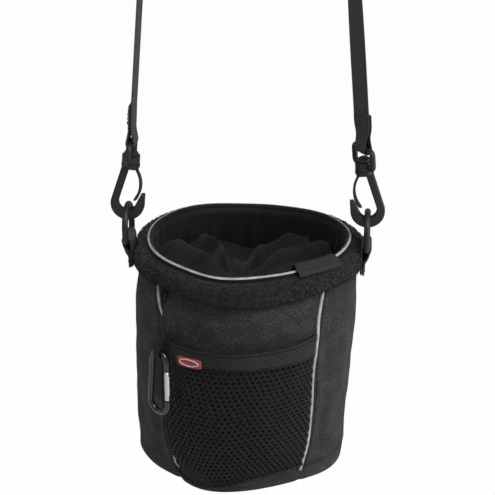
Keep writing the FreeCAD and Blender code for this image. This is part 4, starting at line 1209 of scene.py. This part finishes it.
PIPING_RADIUS = 1.05 * MM
SEAM_SHOWN = {
    # side: height, and how far the piping stands out of the seam there, or lies in it where below 0
    "left": ((0.008, -1.6 * MM), (0.012, 0.4 * MM), (0.018, 0.4 * MM), (0.022, -1.6 * MM),
             (0.118, -1.6 * MM), (0.124, 0.4 * MM), (0.140, 0.6 * MM)),
    "right": ((0.008, 0.5 * MM), (0.030, 0.7 * MM), (0.060, 0.6 * MM), (0.090, 1.0 * MM), (0.098, 1.9 * MM),
              (0.113, 1.9 * MM), (0.120, 0.7 * MM), (0.140, 0.7 * MM)),
}


def build_seams():
    """Piping in both front seams, and a line of stitches on each side of it."""
    for side, turn in (("left", -1), ("right", 1)):
        heights = np.linspace(0.009, 0.139, 130)
        azimuths = seam_azimuth(heights) * turn
        path = wall_point(azimuths, heights, through(heights, SEAM_SHOWN[side]))
        outward = radial(azimuths)
        cord = tube(side + "_seam_piping", path, PIPING_RADIUS, outward, count=12)
        finish_piece(cord, "reflective_piping", replaced=[side + "_piping"])
        for part, step in (("front", -3.4), ("side", 3.2)):
            beside = azimuths + turn * step * MM / BELLY_RADIUS
            line = wall_point(beside, heights, 0.05 * MM)
            stitch_line(side + "_seam_stitches_" + part, line, outward)


def build_body_stitches():
    """The lines of stitches round the base and along the pile band's lower edge."""
    azimuths = np.linspace(0, TURN, 500)
    outward = radial(azimuths)
    stitch_line("base_stitches", wall_point(azimuths, WALL_LOW + 2.5 * MM, 0.1 * MM), outward)
    stitch_line("band_stitches", band_point(azimuths, 0.6, 0.3 * MM), outward)


def folded_tape(name, bar, up, out, radius, reach, layers, slot, width, thickness, replaced):
    """Tape folded under or over a bar. up points from the bar to where its two layers close; layers gives
    the place of each layer across the fold, outer layer first."""
    across = np.cross(up, out)
    outer, inner = layers
    near = radius * 2.6
    start = [bar + up * reach + out * outer, bar + up * (reach * 0.55) + out * outer,
             bar + up * near + out * (outer * 0.6 + radius * 0.4)]
    wrap = arc_points(bar, out, -up, radius, 10, 170, 15)
    stop = [bar + up * near + out * (inner * 0.6 - radius * 0.4), bar + up * (reach * 0.55) + out * inner,
            bar + up * reach * 0.97 + out * inner]
    path = smoothed(np.concatenate([start, wrap, stop]), 0.7 * MM)
    piece = tape(name, path, np.broadcast_to(across, path.shape), width, thickness)
    finish_piece(piece, slot, replaced=[replaced])


def smoothed(path, step, passes=6):
    """An even path with its corners eased."""
    path = even_path(path, step)
    for _ in range(passes):
        path[1:-1] = (path[:-2] + 2 * path[1:-1] + path[2:]) / 4
    return path


BOX_ROUTE = ((-1, -1), (-1, 1), (1, 1), (1, -1), (-1, -1), (1, 1))
CROSS_ROUTE = ((1, -1), (-1, 1))
BOX_WIDTH = WEBBING_WIDTH * 0.76


def box_stitches(name, middle, up, across, normal, length, body):
    """A stitched box with a cross in it: its sides and first diagonal, then the other diagonal."""
    for ending, route in (("", BOX_ROUTE), ("_cross", CROSS_ROUTE)):
        corners = [middle + up * rise * length / 2 + across * side * BOX_WIDTH / 2 for rise, side in route]
        path = even_path(corners, 0.5 * MM)
        normals = np.broadcast_to(normal, path.shape)
        stitch_line(name + ending, path, normals, "tab_thread", body, 0.15 * MM)


RING_BAR_RADIUS = 2.0 * MM
BAR_GAP = 0.3 * MM


def build_ring_tabs():
    """The webbing tab of each D ring, sewn with a box of stitches."""
    for side, turn in (("left", -1), ("right", 1)):
        bar = np.array(JOINTS[side + "_ring_tilt"]["pos_m"])
        out = np.array([turn, 0.0, 0.0])
        wrap = RING_BAR_RADIUS + BAR_GAP + HALF_TAPE
        reach = bar[2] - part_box(side + "_ring_tab")[0].z
        layers = (-wrap + WEBBING_THICKNESS * 1.02, -wrap)
        folded_tape(side + "_ring_webbing", bar, -UP, out, wrap, reach, layers, "webbing", WEBBING_WIDTH,
                    WEBBING_THICKNESS, side + "_ring_tab")
        face = bar + out * (-wrap + WEBBING_THICKNESS * 1.5) - UP * reach * 0.72
        box_stitches(side + "_ring_stitches", face, UP, DEPTH, out, reach * 0.36, "pouch")


RIBBON_WIDTH = 4.6 * MM
RIBBON_THICKNESS = 0.9 * MM


def build_clip_loop():
    """The ribbon loop that carries the carabiner."""
    bar = np.array(JOINTS["carabiner_swing"]["pos_m"])
    out = radial(math.atan2(bar[0], -bar[1]))
    low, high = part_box("carabiner_loop")
    wrap = float(bar[2] - low.z) - RIBBON_THICKNESS / 2
    layers = (-wrap + 1.0 * MM, -wrap)
    folded_tape("clip_ribbon", bar, UP, out, wrap, float(high.z - bar[2]), layers, "ribbon", RIBBON_WIDTH,
                RIBBON_THICKNESS, "carabiner_loop")


LOOP_AZIMUTH = math.radians(-42.6)
LOOP_HEIGHT = 134 * MM
LOOP_HALF_WIDTH = 2.1 * MM
LOOP_HALF_HEIGHT = 5.6 * MM


def build_seam_loop():
    """A narrow corded loop beside the left seam, just under the band."""
    angles = np.linspace(-0.42 * math.pi, 1.42 * math.pi, 40)
    azimuths = LOOP_AZIMUTH + LOOP_HALF_WIDTH * np.cos(angles) / BELLY_RADIUS
    heights = LOOP_HEIGHT - LOOP_HALF_HEIGHT * np.sin(angles)
    path = wall_point(azimuths, heights, 1.0 * MM + 0.5 * MM * np.sin(angles))
    outward = np.broadcast_to(radial(LOOP_AZIMUTH), path.shape)
    cord = tube("seam_cord_loop", path, 0.55 * MM, outward, count=10)
    finish_piece(cord, "ribbon", replaced=["seam_loop"])


# ---------------------------------------------------------------- shoulder strap

# places along a leg, from its hook's collar upwards, and the radii and reaches of the folds there
EYE_BAR = 16.35 * MM
EYE_BAR_RADIUS = 1.8 * MM
FOLD_REACH = 24 * MM
STRAP_RING_BAR = 1.3 * MM
STRAP_RING_LOW = 150 * MM
STRAP_RING_HIGH = 160 * MM
SLIDER_PLACE = 225 * MM
TWIST_START = 69 * MM
LEG_TOP = 300 * MM
RIGHT_TWIST = math.radians(28)
# depth below the apex of the middle of the arch between the legs
ARCH_DEPTH = 48 * MM
EYE_WRAP = EYE_BAR_RADIUS + BAR_GAP + HALF_TAPE
RING_WRAP = STRAP_RING_BAR + BAR_GAP + HALF_TAPE
# distances from a leg's own webbing to the ring's, the tail's and the slider's lines
RING_SIDE = HALF_TAPE + BAR_GAP + STRAP_RING_BAR
TAIL_SIDE = RING_SIDE * 2
SLIDER_BAR = TAIL_SIDE - HALF_TAPE * 3 - BAR_GAP * 2


class Leg:
    """One leg of the strap: along runs up it from the hook's collar, across points away from the middle."""

    def __init__(self, side, turn):
        self.foot = np.array(JOINTS[side + "_hook_swivel"]["pos_m"])
        self.up = unit(np.array(JOINTS[side + "_hook_swivel"]["axis"]))
        self.out = np.array([turn * self.up[2], 0.0, abs(self.up[0])])

    def at(self, along, across=0.0):
        return self.foot + self.up * along + self.out * across


def twisted(leg, angle):
    """The leg's own directions across its width and out of its face, turned about the leg."""
    width = DEPTH * math.cos(angle) - leg.out * math.sin(angle)
    face = leg.out * math.cos(angle) + DEPTH * math.sin(angle)
    return width, face


def build_left_end():
    """The short left end: folded through the eye below and through the strap ring above."""
    leg = Leg("left", -1)
    path = np.concatenate([
        [leg.at(EYE_BAR + FOLD_REACH + 1.5 * MM, HALF_TAPE * 2.1),
         leg.at(EYE_BAR + 9 * MM, HALF_TAPE * 1.6)],
        arc_points(leg.at(EYE_BAR), leg.out, -leg.up, EYE_WRAP, 10, 170, 15),
        [leg.at(EYE_BAR + 9 * MM, -HALF_TAPE * 0.6), leg.at(EYE_BAR + FOLD_REACH), leg.at(100 * MM)],
        arc_points(leg.at(STRAP_RING_LOW, -RING_SIDE), leg.out, leg.up, RING_WRAP, 0, 180, 13),
        [leg.at(STRAP_RING_LOW - 8 * MM, -HALF_TAPE * 2.6),
         leg.at(STRAP_RING_LOW - FOLD_REACH, -HALF_TAPE * 2.1)]])
    path = smoothed(path, 0.9 * MM, 5)
    piece = tape("left_strap_short", path, np.broadcast_to(DEPTH, path.shape),
                 gather=gathered_near(path, leg.at(EYE_BAR), 0.75, 15 * MM))
    finish_piece(piece, "webbing", "strap", ["left_strap_end"])
    middle = leg.at(EYE_BAR + 18 * MM, HALF_TAPE * 3.1)
    box_stitches("left_strap_stitches", middle, leg.up, *twisted(leg, 0), 9 * MM, "strap")


def build_right_loop():
    """The sewn loop of the right leg, bunched up in the eye and turned about the leg."""
    leg = Leg("right", 1)
    width, face = twisted(leg, RIGHT_TWIST)
    path = np.concatenate([
        [leg.at(EYE_BAR + FOLD_REACH - 1 * MM) + face * HALF_TAPE * 2.1,
         leg.at(EYE_BAR + 9 * MM) + face * HALF_TAPE * 1.8],
        arc_points(leg.at(EYE_BAR), face, -leg.up, EYE_WRAP, 10, 170, 15),
        [leg.at(EYE_BAR + 9 * MM) - face * HALF_TAPE * 0.6, leg.at(EYE_BAR + FOLD_REACH)]])
    path = smoothed(path, 0.7 * MM, 5)
    piece = tape("right_strap_fold", path, np.broadcast_to(width, path.shape),
                 gather=gathered_near(path, leg.at(EYE_BAR), 0.66, 17 * MM))
    finish_piece(piece, "webbing", "strap", ["right_strap_loop"])
    for ending, facing, stand in (("out", face, 3.1), ("in", -face, 1.1)):
        middle = leg.at(EYE_BAR + 17 * MM) + facing * HALF_TAPE * stand
        box_stitches("right_strap_stitches_" + ending, middle, leg.up, width, facing, 9 * MM, "strap")


def build_long_strap():
    """The long webbing: from the strap ring up the left leg, over the arch and down to the right loop,
    where it turns about the leg."""
    left, right = Leg("left", -1), Leg("right", 1)
    radius = WEBBING_THICKNESS - HALF_TAPE + ARCH_DEPTH
    lean = math.degrees(math.asin(abs(left.up[0])))
    arch = arc_points(-ARCH_DEPTH * UP, np.array([1.0, 0, 0]), UP, radius, 180 - lean, lean, 60)
    bottom = arc_points(left.at(STRAP_RING_HIGH, -RING_SIDE), left.out, -left.up, RING_WRAP, 180, 0, 13)
    left_side = [left.at(place) for place in np.linspace(STRAP_RING_HIGH + 2 * MM, LEG_TOP, 30)]
    right_side = [right.at(place) for place in np.linspace(LEG_TOP, EYE_BAR + FOLD_REACH, 50)]
    path = even_path(np.concatenate([bottom, left_side, arch, right_side]), 1.6 * MM)
    on_right = path[:, 0] > 0
    along = (path - right.foot) @ right.up
    shares = np.where(on_right, 1 - smooth(TWIST_START, LEG_TOP, along), 0)
    across = np.stack([twisted(right, RIGHT_TWIST * share)[0] for share in shares])
    piece = tape("long_strap_webbing", path, across)
    finish_piece(piece, "webbing", "strap", ["strap_webbing"])


def build_tail():
    """The tail: it comes back from the strap ring beside the long webbing and ends round the slider's
    middle bar."""
    leg = Leg("left", -1)
    radius = SLIDER_BAR + BAR_GAP + HALF_TAPE
    loop = arc_points(leg.at(SLIDER_PLACE, -TAIL_SIDE), -leg.out, leg.up, radius, -65, 245, 26)
    path = np.concatenate([[leg.at(STRAP_RING_HIGH, -TAIL_SIDE), leg.at(SLIDER_PLACE - 12 * MM, -TAIL_SIDE),
                            leg.at(SLIDER_PLACE - 6 * MM, -TAIL_SIDE - 1.0 * MM)], loop,
                           [leg.at(SLIDER_PLACE - 7 * MM, -TAIL_SIDE + 1.4 * MM),
                            leg.at(SLIDER_PLACE - 26 * MM, -TAIL_SIDE + 1.5 * MM)]])
    path = smoothed(path, 0.8 * MM, 3)
    piece = tape("strap_tail_webbing", path, np.broadcast_to(DEPTH, path.shape))
    finish_piece(piece, "webbing", None, ["strap_tail"])
    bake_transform(piece)


# ---------------------------------------------------------------- hardware and stage

def paint_hardware():
    """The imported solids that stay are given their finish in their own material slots."""
    kept = {
        "black_plastic": ("left_hook", "right_hook", "left_gate", "right_gate", "left_ring", "right_ring",
                          "left_swivel_eye", "right_swivel_eye", "strap_ring", "strap_slider"),
        "black_metal": ("carabiner_body",),
        "bright_metal": ("carabiner_gate", "carabiner_pin"),
    }
    for slot, names in kept.items():
        for name in names:
            materials = NODES[name].data.materials
            for place in range(len(materials)):
                materials[place] = FINISHES[slot]


# the camera stands back from a point below the hooks, and aims at a point nearer to them
VIEW_AZIMUTH = math.radians(5.174)
VIEW_ELEVATION = math.radians(26.0)
VIEW_DISTANCE = 0.900
LENS, SENSOR = 97.84, 36
STAND_DROP = 0.1142
AIM_DROP = 0.0537
AIM_ASIDE = 0.45 * MM


def build_camera():
    """Looks down into the mouth from the front, a little from the right."""
    hooks = JOINTS["left_hook_swivel"]["pos_m"][2]
    back = Vector((math.sin(VIEW_AZIMUTH) * math.cos(VIEW_ELEVATION),
                   -math.cos(VIEW_AZIMUTH) * math.cos(VIEW_ELEVATION), math.sin(VIEW_ELEVATION)))
    place = Vector((0, 0, hooks - STAND_DROP)) + back * VIEW_DISTANCE
    data = bpy.data.cameras.new("camera")
    data.lens, data.sensor_width = LENS, SENSOR
    data.clip_start, data.clip_end = 0.05, 20
    camera = bpy.data.objects.new("camera", data)
    bpy.context.collection.objects.link(camera)
    camera.location = place
    aim = Vector((AIM_ASIDE, 0, hooks - AIM_DROP)) - place
    camera.rotation_mode = "QUATERNION"
    camera.rotation_quaternion = aim.to_track_quat("-Z", "Y")
    bpy.context.scene.camera = camera


def area_light(name, place, target, size, power):
    """A rectangular lamp that faces a target."""
    data = bpy.data.lights.new(name, "AREA")
    data.shape = "RECTANGLE"
    data.size, data.size_y = size
    data.energy = power
    light = bpy.data.objects.new(name, data)
    bpy.context.collection.objects.link(light)
    light.location = place
    light.rotation_mode = "QUATERNION"
    light.rotation_quaternion = (Vector(target) - Vector(place)).to_track_quat("-Z", "Y")


def build_world(fill_level):
    """White to the camera and through clear things; an even grey fill for everything else."""
    world = bpy.data.worlds.new("studio")
    world.use_nodes = True
    tree = world.node_tree
    tree.nodes.clear()
    path = node(tree, "ShaderNodeLightPath")
    seen = maths(tree, "MAXIMUM", path.outputs["Is Camera Ray"], path.outputs["Is Transmission Ray"])
    fill = node(tree, "ShaderNodeBackground", {"Color": (1, 1, 1, 1), "Strength": fill_level})
    plain = node(tree, "ShaderNodeBackground", {"Color": (1, 1, 1, 1), "Strength": 1.0})
    mixed = node(tree, "ShaderNodeMixShader", {0: seen, 1: fill.outputs[0], 2: plain.outputs[0]})
    node(tree, "ShaderNodeOutputWorld", {"Surface": mixed.outputs[0]})
    bpy.context.scene.world = world


FLOOR_DROP = 0.32


def build_floor():
    """A pale floor well below the bag: it shows its shadow, and is otherwise as white as the background."""
    bpy.ops.object.select_all(action="DESELECT")
    bpy.ops.mesh.primitive_plane_add(size=30, location=(0, 0, BASE - FLOOR_DROP))
    floor = bpy.context.active_object
    floor.name = "floor"
    material, tree, shader = blank_material("floor_white", 0.9)
    shader.inputs["Base Color"].default_value = grey(0.85)
    path = node(tree, "ShaderNodeLightPath")
    glow = node(tree, "ShaderNodeEmission", {"Color": (1, 1, 1, 1), "Strength": 1.0})
    share = maths(tree, "MULTIPLY", path.outputs["Is Camera Ray"], 0.975)
    mixed = node(tree, "ShaderNodeMixShader", {0: share, 1: shader.outputs[0], 2: glow.outputs[0]})
    tree.links.new(mixed.outputs[0], tree.nodes["Material Output"].inputs["Surface"])
    floor.data.materials.append(material)


def build_stage():
    """Background, floor, three lamps and the camera."""
    look = bpy.context.scene.pouch_studio
    build_world(look.fill_level)
    build_floor()
    middle = (0, 0, BASE + 0.10)
    area_light("key_light", (0.45, -0.85, BASE + 1.45), middle, (0.9, 0.7), look.key_power)
    area_light("left_softbox", (-1.3, -0.25, BASE + 0.35), middle, (0.5, 1.2), look.left_power)
    area_light("right_softbox", (1.3, -0.35, BASE + 0.40), middle, (0.5, 1.2), look.right_power)
    build_camera()
    bpy.context.scene.view_settings.view_transform = "Standard"


# ---------------------------------------------------------------- add-on

class PouchSizes(bpy.types.PropertyGroup):
    """Sizes of the cloth's fine forms."""

    wrinkle_depth: bpy.props.FloatProperty(
        name="Wrinkle depth", description="Height of the body cloth's soft wrinkles",
        default=1.0 * MM, min=0, max=2 * MM, unit="LENGTH")
    pile_depth: bpy.props.FloatProperty(
        name="Pile depth", description="Relief of the loop pile round the mouth",
        default=0.55 * MM, min=0, max=2 * MM, unit="LENGTH")
    mesh_pitch: bpy.props.FloatProperty(
        name="Mesh pitch", description="Distance from hole to hole of the pocket's mesh",
        default=3.95 * MM, min=2 * MM, max=10 * MM, unit="LENGTH")
    stitch_length: bpy.props.FloatProperty(
        name="Stitch length", description="Length of one stitch",
        default=2.2 * MM, min=1 * MM, max=6 * MM, unit="LENGTH")


class PouchStudio(bpy.types.PropertyGroup):
    """Light of the studio."""

    fill_level: bpy.props.FloatProperty(
        name="Fill level", description="Strength of the even light from all round",
        default=0.30, min=0, max=2, subtype="FACTOR")
    key_power: bpy.props.FloatProperty(
        name="Key power", description="Power of the lamp above the camera", default=15, min=0, unit="POWER")
    left_power: bpy.props.FloatProperty(
        name="Left power", description="Power of the softbox at the left", default=0.8, min=0, unit="POWER")
    right_power: bpy.props.FloatProperty(
        name="Right power", description="Power of the softbox at the right", default=8, min=0, unit="POWER")


class POUCH_OT_body(bpy.types.Operator):
    """Side, front and base cloth of the body"""

    bl_idname = "pouch.body"
    bl_label = "Body cloth"
    bl_options = {"REGISTER", "UNDO"}

    def execute(self, context):
        build_side_and_back()
        build_front()
        build_base()
        return {"FINISHED"}


class POUCH_OT_lining(bpy.types.Operator):
    """Loose black lining with its folds"""

    bl_idname = "pouch.lining"
    bl_label = "Lining"
    bl_options = {"REGISTER", "UNDO"}

    def execute(self, context):
        build_lining()
        return {"FINISHED"}


class POUCH_OT_rim(bpy.types.Operator):
    """Spring hoop, reflective piping and the folded tab"""

    bl_idname = "pouch.rim"
    bl_label = "Rim"
    bl_options = {"REGISTER", "UNDO"}

    def execute(self, context):
        build_wire()
        build_piping()
        build_tab()
        return {"FINISHED"}


class POUCH_OT_band(bpy.types.Operator):
    """Loop pile round the outside of the mouth"""

    bl_idname = "pouch.band"
    bl_label = "Pile band"
    bl_options = {"REGISTER", "UNDO"}

    def execute(self, context):
        build_band()
        build_pile_loops()
        return {"FINISHED"}


class POUCH_OT_pocket(bpy.types.Operator):
    """Mesh pocket, its elastic and its label"""

    bl_idname = "pouch.pocket"
    bl_label = "Pocket"
    bl_options = {"REGISTER", "UNDO"}

    def execute(self, context):
        build_mesh_pocket()
        build_elastic()
        build_label()
        return {"FINISHED"}


class POUCH_OT_seams(bpy.types.Operator):
    """Seam piping, stitches and the small corded loop"""

    bl_idname = "pouch.seams"
    bl_label = "Seams"
    bl_options = {"REGISTER", "UNDO"}

    def execute(self, context):
        build_seams()
        build_body_stitches()
        build_seam_loop()
        return {"FINISHED"}


class POUCH_OT_tabs(bpy.types.Operator):
    """Webbing tabs of the rings and the ribbon of the carabiner"""

    bl_idname = "pouch.tabs"
    bl_label = "Tabs"
    bl_options = {"REGISTER", "UNDO"}

    def execute(self, context):
        build_ring_tabs()
        build_clip_loop()
        return {"FINISHED"}


class POUCH_OT_strap(bpy.types.Operator):
    """Shoulder strap with its folds, stitches and tail"""

    bl_idname = "pouch.strap"
    bl_label = "Strap"
    bl_options = {"REGISTER", "UNDO"}

    def execute(self, context):
        build_left_end()
        build_right_loop()
        build_long_strap()
        build_tail()
        return {"FINISHED"}


class POUCH_OT_hardware(bpy.types.Operator):
    """Finishes of the hooks, rings, slider and carabiner"""

    bl_idname = "pouch.hardware"
    bl_label = "Hardware"
    bl_options = {"REGISTER", "UNDO"}

    def execute(self, context):
        paint_hardware()
        return {"FINISHED"}


class POUCH_OT_stage(bpy.types.Operator):
    """Floor, background, lamps and camera"""

    bl_idname = "pouch.stage"
    bl_label = "Stage"
    bl_options = {"REGISTER", "UNDO"}

    def execute(self, context):
        build_stage()
        return {"FINISHED"}


OPERATORS = (
    POUCH_OT_body, POUCH_OT_lining, POUCH_OT_rim, POUCH_OT_band,
    POUCH_OT_pocket, POUCH_OT_seams, POUCH_OT_tabs,
    POUCH_OT_strap, POUCH_OT_hardware, POUCH_OT_stage,
)


class POUCH_PT_panel(bpy.types.Panel):
    """Lists the pouch's pieces in the sidebar"""

    bl_label = "Treat Pouch"
    bl_idname = "POUCH_PT_panel"
    bl_space_type = "VIEW_3D"
    bl_region_type = "UI"
    bl_category = "Treat Pouch"

    def draw(self, context):
        layout = self.layout
        for group in (context.scene.pouch_sizes, context.scene.pouch_studio):
            for name in group.__annotations__:
                layout.prop(group, name)
        for kind in OPERATORS:
            layout.operator(kind.bl_idname)


CLASSES = (PouchSizes, PouchStudio) + OPERATORS + (POUCH_PT_panel,)


def register():
    """Registers the classes and gives the scene its settings."""
    for kind in CLASSES:
        bpy.utils.register_class(kind)
    bpy.types.Scene.pouch_sizes = bpy.props.PointerProperty(type=PouchSizes)
    bpy.types.Scene.pouch_studio = bpy.props.PointerProperty(type=PouchStudio)


def unregister():
    """Takes back what register has done."""
    del bpy.types.Scene.pouch_studio
    del bpy.types.Scene.pouch_sizes
    for kind in reversed(CLASSES):
        bpy.utils.unregister_class(kind)


def main():
    """Builds the whole pouch."""
    register()
    FINISHES.update(make_materials())
    for kind in OPERATORS:
        getattr(bpy.ops.pouch, kind.bl_idname.split(".")[1])()


if __name__ == "__main__":
    main()
